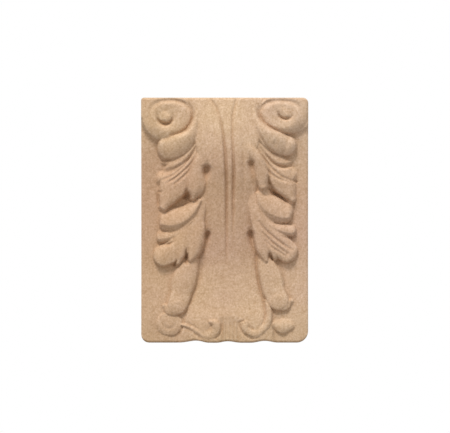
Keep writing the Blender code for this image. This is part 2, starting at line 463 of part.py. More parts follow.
def nearest_on(line, x, z):
    """The point of a line that is nearest to x and z."""
    start, run = line[:-1], np.diff(line, axis=0)
    share = np.clip(((np.array([x, z]) - start) * run).sum(1) / (run**2).sum(1), 0, 1)
    points = start + share[:, None] * run
    return points[np.hypot(points[:, 0] - x, points[:, 1] - z).argmin()]


def make_face():
    """Grid fitted to the outline, with every vertex at its own height of relief."""
    columns, rows = (round(size / CELL) for size in FIELD)
    mesh = bmesh.new()
    bmesh.ops.create_grid(mesh, x_segments=columns, y_segments=rows, size=1.0)
    flat = np.array([vertex.co for vertex in mesh.verts])
    x = eased(flat[:, 0]) * WIDTH / 2
    low, high = foot_line(x), head_line(x)
    z = low + (high - low) * (eased(flat[:, 1]) + 1) / 2
    height = relief(FIELD_START[0] + (x / WIDTH + 0.5) * FIELD[0], FIELD_START[1] + z / HEIGHT * FIELD[1])
    height *= DEPTH / height.max()
    edge = np.minimum(np.minimum(WIDTH / 2 - np.abs(x), z - low), high - z)
    height -= ARRIS_FALL * (1 - np.clip(edge / ARRIS_ROLL, 0, 1)) ** 2
    for vertex, across, out, up in zip(mesh.verts, x, height, z):
        vertex.co = (across, -out, up)
    return mesh


def thin_out(mesh, triangles):
    """Fewer triangles where the face is calm, on an open sheet whose border stays where it is."""
    data = bpy.data.meshes.new("sheet")
    mesh.to_mesh(data)
    mesh.free()
    sheet = bpy.data.objects.new("sheet", data)
    bpy.context.scene.collection.objects.link(sheet)
    collapse = sheet.modifiers.new("collapse", "DECIMATE")
    collapse.ratio = triangles / (2 * len(data.polygons))
    collapse.use_collapse_triangulate = True
    bpy.context.view_layer.update()
    thinned = sheet.evaluated_get(bpy.context.evaluated_depsgraph_get()).to_mesh()
    result = bmesh.new()
    result.from_mesh(thinned)
    bpy.data.objects.remove(sheet)
    bpy.data.meshes.remove(data)
    edge = outline()
    for vertex in (vertex for vertex in result.verts if vertex.is_boundary):
        vertex.co.x, vertex.co.z = nearest_on(edge, vertex.co.x, vertex.co.z)
    return result


def close_back(mesh):
    """Draws the sheet's border back to a flat plane and closes it with one face."""
    border = [edge for edge in mesh.edges if edge.is_boundary]
    drawn = bmesh.ops.extrude_edge_only(mesh, edges=border)["geom"]
    for vertex in (item for item in drawn if isinstance(item, bmesh.types.BMVert)):
        vertex.co.y = 0.0
    bmesh.ops.holes_fill(mesh, edges=[edge for edge in mesh.edges if edge.is_boundary])
    bmesh.ops.translate(mesh, verts=mesh.verts, vec=(0.0, DEPTH / 2, 0.0))
    bmesh.ops.recalc_face_normals(mesh, faces=mesh.faces)


def wood_material():
    """Matte pressed wood flour, tan."""
    material = bpy.data.materials.new("pressed_wood")
    material.use_nodes = True
    shader = material.node_tree.nodes["Principled BSDF"]
    shader.inputs["Base Color"].default_value = (0.55, 0.37, 0.24, 1.0)
    shader.inputs["Roughness"].default_value = 0.95
    shader.inputs["Metallic"].default_value = 0.0
    return material


def main():
    """Clears the scene and builds the capital."""
    for item in list(bpy.data.objects):
        bpy.data.objects.remove(item)
    mesh = thin_out(make_face(), TRIANGLES)
    close_back(mesh)
    data = bpy.data.meshes.new("capital")
    mesh.to_mesh(data)
    mesh.free()
    data.materials.append(wood_material())
    capital = bpy.data.objects.new("capital", data)
    group = bpy.data.collections.new("column_capital")
    bpy.context.scene.collection.children.link(group)
    group.objects.link(capital)


if __name__ == "__main__":
    main()
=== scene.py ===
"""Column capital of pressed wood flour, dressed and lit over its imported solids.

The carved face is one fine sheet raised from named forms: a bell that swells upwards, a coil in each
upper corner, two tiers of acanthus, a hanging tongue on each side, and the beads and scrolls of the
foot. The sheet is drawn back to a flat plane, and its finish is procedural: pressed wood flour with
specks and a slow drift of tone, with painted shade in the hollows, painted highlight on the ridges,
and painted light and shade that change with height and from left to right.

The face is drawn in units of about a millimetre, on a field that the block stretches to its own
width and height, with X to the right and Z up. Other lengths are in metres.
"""
from __future__ import annotations

import logging
import math
from dataclasses import dataclass
from enum import Enum

import bmesh
import bpy
import numpy as np
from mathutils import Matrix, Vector, noise

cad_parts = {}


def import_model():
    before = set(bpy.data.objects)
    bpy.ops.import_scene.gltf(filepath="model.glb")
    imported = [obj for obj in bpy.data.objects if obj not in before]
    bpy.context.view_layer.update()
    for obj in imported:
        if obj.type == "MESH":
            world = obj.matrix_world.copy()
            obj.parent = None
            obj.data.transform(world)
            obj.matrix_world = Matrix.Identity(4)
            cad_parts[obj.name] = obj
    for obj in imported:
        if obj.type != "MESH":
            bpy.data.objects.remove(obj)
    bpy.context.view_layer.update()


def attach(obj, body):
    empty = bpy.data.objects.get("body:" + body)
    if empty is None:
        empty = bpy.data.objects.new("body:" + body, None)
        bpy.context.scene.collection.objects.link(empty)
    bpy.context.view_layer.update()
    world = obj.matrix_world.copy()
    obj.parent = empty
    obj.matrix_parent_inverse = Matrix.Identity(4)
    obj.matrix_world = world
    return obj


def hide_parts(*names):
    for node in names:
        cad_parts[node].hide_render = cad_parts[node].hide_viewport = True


LOG = logging.getLogger("column_capital")
TINY = 1e-6

Stations = tuple[tuple[float, float, float, float], ...]
Pair = tuple[float, float]
Knots = tuple[Pair, ...]
Triple = tuple[float, float, float]
Colour = Triple
Socket = bpy.types.NodeSocket


class Side(Enum):
    """Which half of the face a form belongs to."""

    LEFT = -1
    RIGHT = 1


def smooth_curve(knots: Knots | np.ndarray, at: np.ndarray) -> np.ndarray:
    """Reads a smooth curve through knots.

    Args:
        knots: Pairs of place and value, in rising order of place.
        at: Places to read.

    Returns:
        The value at each place.
    """
    x, y = np.asarray(knots, float).T
    slope = np.gradient(y, x)
    i = np.clip(np.searchsorted(x, at) - 1, 0, len(x) - 2)
    gap = x[i + 1] - x[i]
    t = np.clip((at - x[i]) / gap, 0, 1)
    return ((2 * t**3 - 3 * t**2 + 1) * y[i] + (t**3 - 2 * t**2 + t) * gap * slope[i]
            + (3 * t**2 - 2 * t**3) * y[i + 1] + (t**3 - t**2) * gap * slope[i + 1])


def soft_max(first: np.ndarray, second: np.ndarray, blend: float) -> np.ndarray:
    """Joins two surfaces where they meet.

    Args:
        first: Heights of one surface.
        second: Heights of the other.
        blend: Size of the fillet along the meeting line.

    Returns:
        The larger height at each point, with the meeting line filleted.
    """
    return 0.5 * (first + second + np.sqrt((first - second) ** 2 + blend * blend))


def add_node(tree: bpy.types.NodeTree, kind: str, inputs: dict[str | int, Socket | float | tuple],
             **settings: str | bool | bpy.types.NodeTree) -> bpy.types.Node:
    """Adds a shader node, sets it up and feeds its inputs.

    Args:
        tree: The tree that gets the node.
        kind: Type of the node.
        inputs: What feeds each input: another node's output, or a value.
        settings: The node's own settings.

    Returns:
        The new node.
    """
    node = tree.nodes.new(kind)
    for name, setting in settings.items():
        setattr(node, name, setting)
    for name, feed in inputs.items():
        if isinstance(feed, Socket):
            tree.links.new(feed, node.inputs[name])
        else:
            node.inputs[name].default_value = feed
    return node


@dataclass(frozen=True)
class Lobe:
    """One leaf, curl or bead raised along a smooth midrib.

    A station is x, z, half width and height from the back. The crest lies at a share of the half
    width, upper and lower are the falls from it to the two edges, and a lower roundness folds the
    lower edge more sharply. A blunter end has a flatter cap, and wall is the slope of its side.
    """

    stations: Stations
    crest: float = 0.0
    upper: float = 0.5
    lower: float = 0.6
    roundness: float = 2.2
    blunt: float = 1.0
    wall: float = 2.6


@dataclass(frozen=True)
class Groove:
    """One rounded cut. A station is x, z, half width and depth of cut."""

    stations: Stations


@dataclass(frozen=True)
class DrilledEye:
    """A drilled eye that is steep at its top and runs out below over its tail."""

    x: float
    z: float
    radius: float
    deep: float
    tail: float


@dataclass
class ReliefField:
    """Height of the carved face above its flat back, at a list of points of the drawing."""

    x: np.ndarray
    z: np.ndarray
    height: np.ndarray
    fillet: float = 0.16
    lobe_margin: float = 2.5
    groove_margin: float = 2.0
    least_half: float = 0.2
    round_power: float = 2.2
    crest_blend: float = 0.25
    eye_stretch: float = 0.3
    eye_rim: float = 0.95
    eye_lip: float = 0.13
    largest_power: float = 50.0

    @staticmethod
    def midrib(stations: Stations, steps: int = 120) -> np.ndarray:
        """Walks a smooth line through the stations.

        Args:
            stations: The stations to pass through.
            steps: How many points the line has.

        Returns:
            One row a point, with every column of the stations.
        """
        rows = np.asarray(stations, float)
        along = np.concatenate([[0], np.cumsum(np.hypot(*np.diff(rows[:, :2], axis=0).T))])
        at = np.linspace(0, along[-1], steps)
        return np.stack([smooth_curve(np.stack([along, column], 1), at) for column in rows.T], 1)

    def near(self, stations: Stations, margin: float) -> np.ndarray:
        """Finds the points close to some stations.

        Args:
            stations: The stations to look round.
            margin: How far beyond the widest half width a point may lie.

        Returns:
            A mask of the points.
        """
        rows = np.asarray(stations, float)
        reach = margin + rows[:, 2].max()
        low, high = rows[:, :2].min(0) - reach, rows[:, :2].max(0) + reach
        return (self.x > low[0]) & (self.x < high[0]) & (self.z > low[1]) & (self.z < high[1])

    def follow(self, mask: np.ndarray,
               stations: Stations) -> tuple[np.ndarray, np.ndarray, np.ndarray, np.ndarray]:
        """Measures points against a midrib.

        Args:
            mask: The points to measure.
            stations: The stations of the midrib.

        Returns:
            Distance to the left of the midrib, distance past its ends, and the third and fourth
            columns of the stations at the nearest place.
        """
        path = self.midrib(stations)
        heading = np.gradient(path[:, :2], axis=0)
        heading /= np.linalg.norm(heading, axis=1)[:, None]
        points = np.stack([self.x[mask], self.z[mask]], 1)
        nearest = ((points[:, None] - path[None, :, :2]) ** 2).sum(2).argmin(1)
        offset, along = points - path[nearest, :2], heading[nearest]
        ahead = (offset * along).sum(1)
        across = along[:, 0] * offset[:, 1] - along[:, 1] * offset[:, 0]
        last = len(path) - 1
        past = (np.where(nearest == last, np.maximum(ahead, 0), 0)
                + np.where(nearest == 0, np.maximum(-ahead, 0), 0))
        row = np.clip(nearest + ahead / np.linalg.norm(path[1, :2] - path[0, :2]), 0, last)
        third, fourth = (np.interp(row, np.arange(last + 1), path[:, column]) for column in (2, 3))
        return across, past, third, fourth

    def lay(self, lobe: Lobe) -> None:
        """Raises one lobe: rounded over its crest, with a steep wall all round.

        Args:
            lobe: The lobe to raise.
        """
        mask = self.near(lobe.stations, self.lobe_margin)
        across, past, half, level = self.follow(mask, lobe.stations)
        if lobe.stations[-1][0] < lobe.stations[0][0]:
            across = -across
        half = np.maximum(half, self.least_half)
        radial = np.hypot(across, past * lobe.blunt) / half
        side = np.clip(across / half, -1, 1)
        bend = np.where(side > lobe.crest, (side - lobe.crest) / (1 - lobe.crest),
                        (lobe.crest - side) / (1 + lobe.crest))
        capped = (np.minimum(radial, 1) ** 2 - side**2) / np.maximum(1 - side**2, TINY)
        bend += (1 - bend) * np.clip(capped, 0, 1)
        above = 0.5 + 0.5 * np.tanh((side - lobe.crest) / self.crest_blend)
        fall = lobe.lower + (lobe.upper - lobe.lower) * above
        power = np.where(side > lobe.crest, self.round_power, lobe.roundness)
        top = level - fall * bend**power - lobe.wall * half * np.maximum(radial - 1, 0)
        self.height[mask] = soft_max(self.height[mask], top, self.fillet)

    def cut(self, groove: Groove) -> None:
        """Cuts one rounded groove.

        Args:
            groove: The groove to cut.
        """
        mask = self.near(groove.stations, self.groove_margin)
        across, past, half, deep = self.follow(mask, groove.stations)
        self.height[mask] -= deep * np.exp(-(np.hypot(across, past) / half) ** 2)

    def drill(self, eye: DrilledEye) -> None:
        """Cuts one drilled eye.

        Args:
            eye: The eye to drill.
        """
        rise = self.z - eye.z
        upright = np.where(rise > 0, rise, self.eye_stretch * rise)
        radial = np.hypot(self.x - eye.x, upright) / eye.radius
        outside = np.minimum((radial - self.eye_rim) / self.eye_lip, self.largest_power)
        mouth = 1 / (1 + np.exp(outside))
        self.height -= eye.deep * mouth * np.clip(1 + np.minimum(rise, 0) / eye.tail, 0, 1)


@dataclass(frozen=True)
class Bell:
    """The body: a bell on a flat ground, with two stems and soft folds down it and a reeded foot."""

    ground: Knots = ((0, 12.3), (3, 12.3), (8, 12.3), (12, 12.0), (16, 11.6), (25, 10.9), (35, 10.9),
                     (50, 11.1), (58, 11.5), (66, 12.2), (72, 12.8), (88, 13.0))
    profile: Knots = ((0, 14.5), (2, 14.5), (5, 14.5), (9, 14.1), (13, 13.2), (20, 12.2), (27, 11.85),
                      (34, 12.25), (41, 13.1), (48, 14.2), (54, 15.3), (59, 16.5), (63, 17.4),
                      (67, 17.9), (71, 18.0), (77, 17.6), (82, 16.9), (88, 15.9))
    left: Knots = ((0, -15.6), (3.5, -15.0), (5.5, -14.4), (7, -13.8), (9.5, -13.2), (14, -12.4),
                   (20, -11.0), (28, -9.3), (36, -8.0), (46, -7.6), (52, -7.4), (58, -7.4), (66, -8.7),
                   (71, -9.8), (77, -10.2), (82, -11.2), (88, -15))
    right: Knots = ((0, 17.6), (3.5, 17.2), (7, 16.8), (10, 16.1), (14, 15.1), (20, 13.6), (28, 12.2),
                    (36, 11.2), (46, 10.6), (52, 11.0), (58, 11.6), (64, 10.8), (68, 11.2), (71, 12.0),
                    (74, 12.4), (77, 12.0), (82, 12.2), (88, 15))
    fillet: float = 0.5
    crown: float = 1.2
    crown_power: float = 2.5
    flank: float = 1.6
    reed_middle: float = 2.2
    reed_half: float = 4.4
    reed_top: float = 9.8
    reed_arch: float = 0.05
    reed_ease: Pair = (1.2, 3.2)
    reed_pitch: float = 1.35
    reed_depth: float = 0.18
    reed_sink: float = 0.5
    stems: tuple[Groove, ...] = (
        Groove(((-5.8, 87.9, .4, .3), (-3.3, 85.0, .45, .5), (-1.7, 81.3, .4, .55),
                (-0.6, 76.4, .45, .8), (0.4, 68, .6, 1.2), (0.8, 60, .6, 1.35), (0.95, 50, .55, 1.2),
                (0.95, 42, .5, .85), (0.9, 34, .4, .5), (0.9, 27, .3, .1))),
        Groove(((4.75, 87.9, .4, .3), (3.5, 83.5, .45, .5), (3.0, 78, .45, .65), (3.2, 70, .5, .9),
                (3.5, 62, .6, 1.3), (3.4, 54, .6, 1.25), (3.3, 48, .5, .9), (3.2, 42, .4, .4),
                (3.1, 37, .3, .1))),
        Groove(((1.2, 84, .9, .05), (1.4, 76, 1.1, .2), (2.0, 66, 1.2, .3), (2.2, 56, 1.2, .3),
                (2.2, 46, 1.0, .05))),
        Groove(((-3.6, 82, .5, .05), (-3.7, 74, .6, .2), (-3.5, 64, .6, .25), (-3.4, 54, .5, .05))),
        Groove(((-5.3, 80, .5, .05), (-5.6, 73, .6, .2), (-5.0, 66, .5, .1))),
        Groove(((6.5, 76, .5, .05), (6.8, 70, .6, .2), (7.0, 60, .6, .25), (7.2, 50, .5, .05))),
    )

    def raise_forms(self, field: ReliefField) -> None:
        """Raises the ground and the bell, with its reeded foot.

        Args:
            field: The heights to raise.
        """
        left, right = smooth_curve(self.left, field.z), smooth_curve(self.right, field.z)
        middle, breadth = (left + right) / 2, (right - left) / 2
        aside = np.abs(field.x - middle)
        rounding = self.crown * np.minimum(aside / breadth, 1) ** self.crown_power
        bell = (smooth_curve(self.profile, field.z) - rounding
                - self.flank * np.maximum(aside - breadth, 0))
        from_reeds = field.x - self.reed_middle
        below = self.reed_top - self.reed_arch * from_reeds**2 - field.z
        reeded = (np.clip(below / self.reed_ease[1], 0, 1)
                  * np.clip((self.reed_half - np.abs(from_reeds)) / self.reed_ease[0], 0, 1))
        wave = np.cos(2 * math.pi * from_reeds / self.reed_pitch)
        bell -= reeded * (self.reed_sink + self.reed_depth * wave)
        field.height[:] = soft_max(smooth_curve(self.ground, field.z), bell, self.fillet)

    def cut_lines(self, field: ReliefField) -> None:
        """Cuts the two stems and the soft folds beside them."""
        for stem in self.stems:
            field.cut(stem)


@dataclass(frozen=True)
class Coil:
    """One coil: the discs it lies on, its inner end and the cuts that draw the spiral."""

    side: Side
    eye: Pair
    ring: float
    discs: tuple[Triple, ...]
    inner_end: Lobe
    cuts: tuple[Groove, ...]


@dataclass(frozen=True)
class Volutes:
    """The two coils of the upper corners."""

    top: float = 16.1
    dish: float = 0.55
    fall: float = 1.7
    least_fall: float = 0.25
    fall_power: float = 1.7
    fall_reach: float = 1.3
    oval: float = 0.25
    wall: float = 1.9
    fillet: float = 0.8
    corner_drop: float = 0.5
    coils: tuple[Coil, ...] = (
        Coil(Side.LEFT, (-21.0, 80.8), 4.4, ((-20.5, 80.9, 8.6),),
             Lobe(((-21.2, 81.2, 1.9, 16.2), (-21.0, 80.7, 2.1, 16.3)), 0.0, 0.7, 1.5, 2.4),
             (Groove(((-25.6, 77.6, .8, .1), (-26.6, 80.4, .9, .25), (-25.8, 84.0, .9, .3),
                      (-23.1, 86.1, .9, .55), (-20.0, 86.6, .8, .75), (-16.2, 86.3, .8, .85),
                      (-13.2, 84.9, .9, .85), (-11.5, 82.6, .9, .75), (-11.2, 80.0, .9, .6),
                      (-12.4, 77.4, .8, .5), (-15.2, 75.2, .7, .5), (-18.5, 74.1, .7, .5))),
              Groove(((-23.7, 82.0, .5, .1), (-23.8, 80.5, .5, .5), (-22.9, 78.9, .6, 1.3),
                      (-21.1, 78.2, .7, 1.7), (-19.2, 78.8, .6, 1.4), (-18.3, 80.4, .5, .5),
                      (-18.4, 81.8, .5, .1))))),
        Coil(Side.RIGHT, (21.6, 82.0), 4.3, ((18.9, 81.3, 6.7), (24.2, 82.7, 7.5)),
             Lobe(((19.2, 83.6, 1.1, 15.8), (20.6, 83.5, 1.4, 16.0), (21.9, 82.4, 1.5, 16.2),
                   (22.2, 81.9, 1.4, 16.2)), 0.0, 0.5, 1.0, 2.4),
             (Groove(((27.9, 79.6, .8, .1), (27.5, 82.8, .9, .3), (26.1, 85.0, .9, .5),
                      (23.6, 86.2, .9, .7), (20.4, 86.6, .9, .8), (17.0, 86.2, .9, .8),
                      (14.0, 84.8, .9, .75), (12.5, 82.8, .9, .7), (12.7, 80.4, .9, .6),
                      (14.2, 78.2, .7, .55), (17.5, 76.3, .7, .55), (20.8, 75.0, .7, .5))),
              Groove(((19.3, 82.4, .35, .3), (19.7, 81.2, .45, 1.0), (20.9, 80.2, .5, 1.3),
                      (22.6, 80.0, .5, 1.0), (24.0, 80.6, .5, .5), (24.6, 81.6, .5, .1))))),
    )

    def raise_forms(self, field: ReliefField) -> None:
        """Lays each coil on its discs, fills the corner above it and winds its spiral.

        Args:
            field: The heights to raise.
        """
        for coil in self.coils:
            beyond = np.min([np.hypot(field.x - x, field.z - z) - r for x, z, r in coil.discs], 0)
            last_x, last_z, last_r = coil.discs[-1]
            in_corner = np.maximum(last_z - self.corner_drop - field.z,
                                   (last_x - field.x) * coil.side.value)
            beyond = np.maximum(np.minimum(beyond, in_corner), 0)
            eye_x, eye_z = coil.eye
            radial = np.hypot(field.x - eye_x, field.z - eye_z)
            angle = np.arctan2(field.z - eye_z, (field.x - eye_x) * coil.side.value)
            low, inward = 0.5 - 0.5 * np.sin(angle), 0.5 - 0.5 * np.cos(angle)
            crest = coil.ring * (1 + self.oval * inward)
            dish = self.dish * np.clip(1 - radial / crest, 0, 1)
            outwards = np.clip((radial - crest) / (last_r - coil.ring), 0, self.fall_reach)
            fall = (self.least_fall + self.fall * low**2) * outwards**self.fall_power
            rolled = self.top - dish - fall - self.wall * beyond
            field.height[:] = soft_max(field.height, rolled, self.fillet)
            for groove in coil.cuts:
                field.cut(groove)
            field.lay(coil.inner_end)

    def cut_lines(self, field: ReliefField) -> None:
        """Leaves the coils as they are: their cuts are made as they are laid."""


@dataclass(frozen=True)
class CarvedTier:
    """One band of ornament: its lobes, its cuts and its drilled eyes."""

    lobes: tuple[Lobe, ...]
    cuts: tuple[Groove, ...] = ()
    eyes: tuple[DrilledEye, ...] = ()

    def raise_forms(self, field: ReliefField) -> None:
        """Raises the lobes in order."""
        for lobe in self.lobes:
            field.lay(lobe)

    def cut_lines(self, field: ReliefField) -> None:
        """Cuts the flutes and notches, then drills the eyes.

        Args:
            field: The heights to cut.
        """
        for groove in self.cuts:
            field.cut(groove)
        for eye in self.eyes:
            field.drill(eye)


@dataclass(frozen=True)
class UpperAcanthus(CarvedTier):
    """The upper leaves: the fold under each coil, the fluted body and the finger with its eye."""

    lobes: tuple[Lobe, ...] = (
        # left: body, second fold, fan of flutes, finger and the fold under the volute
        Lobe(((-8.8, 75, 2.2, 15.6), (-10.9, 69, 3.8, 15.9), (-14.2, 62.4, 5.5, 15.4),
              (-18.0, 56.4, 5.0, 14.8), (-19.8, 52.9, 3.4, 14.4),
              (-21.7, 48.9, 1.5, 13.7)), -0.2, 1.7, 0.4, 2.2, 1.0, 2.3),
        Lobe(((-9.8, 71.4, 0.6, 16.2), (-12.8, 67.4, 1.0, 15.8), (-16.6, 64.9, 1.2, 14.5),
              (-20.0, 64.2, 1.1, 13.5), (-22.0, 64.4, 0.8, 12.6)), -0.1, 0.8, 0.9, 1.3, 1.0, 1.6),
        Lobe(((-11.0, 68.4, 2.0, 15.9), (-15.2, 63.6, 2.7, 15.2), (-19.2, 60.2, 2.5, 14.2),
              (-22.0, 58.9, 1.9, 13.2)), 0.0, 0.9, 0.6, 2.2, 1.1, 0.9),
        Lobe(((-7.6, 71, 1.0, 16.4), (-8.9, 65.4, 1.7, 16.9), (-9.5, 60.6, 2.6, 16.6),
              (-9.9, 56.6, 2.9, 16.3), (-10.3, 53.8, 2.3, 15.8),
              (-10.8, 51.9, 0.8, 15.0)), 0.0, 0.8, 0.6),
        Lobe(((-9.2, 84.0, 1.0, 15.9), (-9.9, 78.4, 1.4, 17.1), (-11.9, 73.8, 2.3, 17.8),
              (-15.0, 71.2, 3.4, 17.4), (-18.3, 69.9, 3.9, 16.4),
              (-20.4, 69.7, 3.9, 15.7)), 0.45, 0.9, 1.5, 2.2, 1.25),
        # right: the same in the same order, with a filler under the notch before the last
        Lobe(((9.8, 76, 2.2, 16.4), (12.4, 70, 3.8, 16.3), (16.4, 63.8, 5.3, 15.4),
              (20.4, 58.6, 4.8, 14.7), (22.5, 55.6, 3.6, 14.1),
              (24.4, 51.6, 1.7, 13.3)), -0.2, 2.3, 0.4, 2.2, 1.0, 2.0),
        Lobe(((12.4, 71.6, 0.6, 15.9), (15.2, 67.6, 0.9, 15.5), (18.2, 65.4, 1.1, 14.7),
              (21.3, 64.6, 1.2, 13.8), (23.4, 64.7, 0.9, 13.0)), -0.1, 0.8, 1.1, 1.3, 1.0, 1.8),
        Lobe(((12.9, 69.4, 2.0, 15.8), (16.8, 65.0, 3.0, 15.1), (21.4, 61.5, 3.1, 14.0),
              (23.6, 60.4, 2.6, 12.9)), 0.0, 0.9, 0.6, 2.2, 1.1, 1.0),
        Lobe(((7.8, 73.0, 0.9, 17.2), (9.2, 69.6, 1.3, 17.9), (11.4, 66.4, 1.8, 17.7),
              (13.0, 62.6, 2.1, 17.0), (13.6, 58.8, 2.1, 16.4),
              (13.9, 56.4, 1.5, 15.8)), 0.0, 0.7, 0.5),
        Lobe(((12.6, 56.0, 1.8, 14.1), (14.2, 53.8, 1.9, 14.1),
              (15.4, 52.4, 1.4, 13.6)), 0.0, 0.4, 0.6),
        Lobe(((10.2, 85, 1.0, 15.9), (11.2, 79.6, 1.4, 17.0), (13.7, 75.4, 2.3, 17.9),
              (16.8, 72.6, 3.2, 17.5), (20.0, 71.1, 3.5, 16.5),
              (22.2, 70.5, 3.3, 15.6)), 0.35, 0.9, 1.2, 2.2, 1.0),
    )
    cuts: tuple[Groove, ...] = (
        # soft hollows beside the fingers, under the drilled eyes
        Groove(((-6.1, 64.0, .8, .3), (-6.15, 63.0, 1.2, 1.3), (-6.2, 61.6, 1.3, 1.8),
                (-6.4, 60.0, 1.35, 1.2), (-6.8, 58.2, 1.3, .6), (-7.3, 56.2, 1.3, .3),
                (-8.2, 53.6, 1.2, .5), (-9.9, 50.4, 1.0, .6))),
        Groove(((9.4, 65.4, .9, .3), (9.6, 64.5, 1.1, 1.2), (9.8, 63.2, 1.2, 1.1),
                (10.2, 61.0, 1.2, .8), (10.7, 58.8, 1.1, .5), (11.2, 56.4, 1.0, .4),
                (12.2, 54.4, .7, .2))),
        # flutes and notches, left then right
        Groove(((-10.2, 69.6, .35, .2), (-12.8, 65.8, .45, .6), (-16.0, 63.2, .6, .8),
                (-18.6, 61.7, 1.0, 1.0), (-21.2, 61.1, 1.2, 1.0), (-23.0, 61.4, .8, .2))),
        Groove(((-10.6, 68.4, .35, .2), (-12.3, 66.0, .4, .5), (-14.8, 62.8, .42, .6),
                (-16.6, 61.2, .42, .6), (-18.4, 59.9, .42, .55), (-20.6, 58.8, .45, .4),
                (-22.4, 58.2, .4, .1))),
        Groove(((-10.2, 66.6, .35, .2), (-12.4, 63.4, .4, .5), (-15.1, 60.9, .42, .6),
                (-16.9, 59.4, .42, .6), (-18.8, 58.1, .45, .5), (-20.6, 57.1, .4, .15))),
        Groove(((-10.9, 64.2, .35, .2), (-13.2, 60.8, .42, .5), (-15.0, 59.0, .42, .5),
                (-16.6, 57.6, .45, .35), (-18.2, 56.4, .4, .1))),
        Groove(((-23.6, 54.0, .3, .3), (-22.9, 53.9, .35, .6), (-22.0, 54.0, .3, .1))),
        Groove(((-23.6, 53.0, .35, .3), (-23.6, 50.6, .35, .4), (-23.0, 48.2, .35, .2))),
        Groove(((-13.3, 55.6, .3, .1), (-13.6, 53.8, .45, 1.1), (-13.7, 52.0, .7, 1.2))),
        Groove(((13.2, 69.6, .35, .3), (15.4, 66.6, .45, .8), (18.2, 63.9, .6, 1.1),
                (21.4, 62.9, .7, 1.4), (23.8, 63.2, .6, .8))),
        Groove(((12.4, 68.4, .35, .2), (14.6, 65.6, .4, .6), (17.4, 62.2, .45, .6),
                (20.8, 59.4, .45, .5), (24.8, 57.9, .4, .4), (26.0, 57.5, .35, .6))),
        Groove(((13.8, 64.6, .35, .2), (15.4, 61.9, .4, .5), (18.0, 59.6, .4, .5),
                (21.4, 58.0, .45, .4), (24.4, 57.2, .4, .1))),
        Groove(((15.8, 59.6, .3, .2), (16.1, 57.8, .4, 1.2), (16.9, 55.6, .6, 1.6),
                (18.4, 53.6, .7, 1.6), (20.6, 52.0, .7, 1.3), (23.0, 50.6, .6, .9),
                (24.8, 49.6, .5, .5))),
        Groove(((11.7, 76.6, .3, .2), (12.7, 74.2, .4, .5), (14.3, 71.5, .4, .6), (16.4, 69.0, .4, .6),
                (19.0, 67.2, .4, .5))),
        Groove(((18.3, 72.6, .3, .1), (18.2, 71.0, .4, .35), (18.5, 69.2, .3, .1))),
    )
    eyes: tuple[DrilledEye, ...] = (DrilledEye(-6.1, 62.2, 1.3, 0.6, 4.0),
                                    DrilledEye(9.8, 64.2, 1.15, 0.4, 3.6))


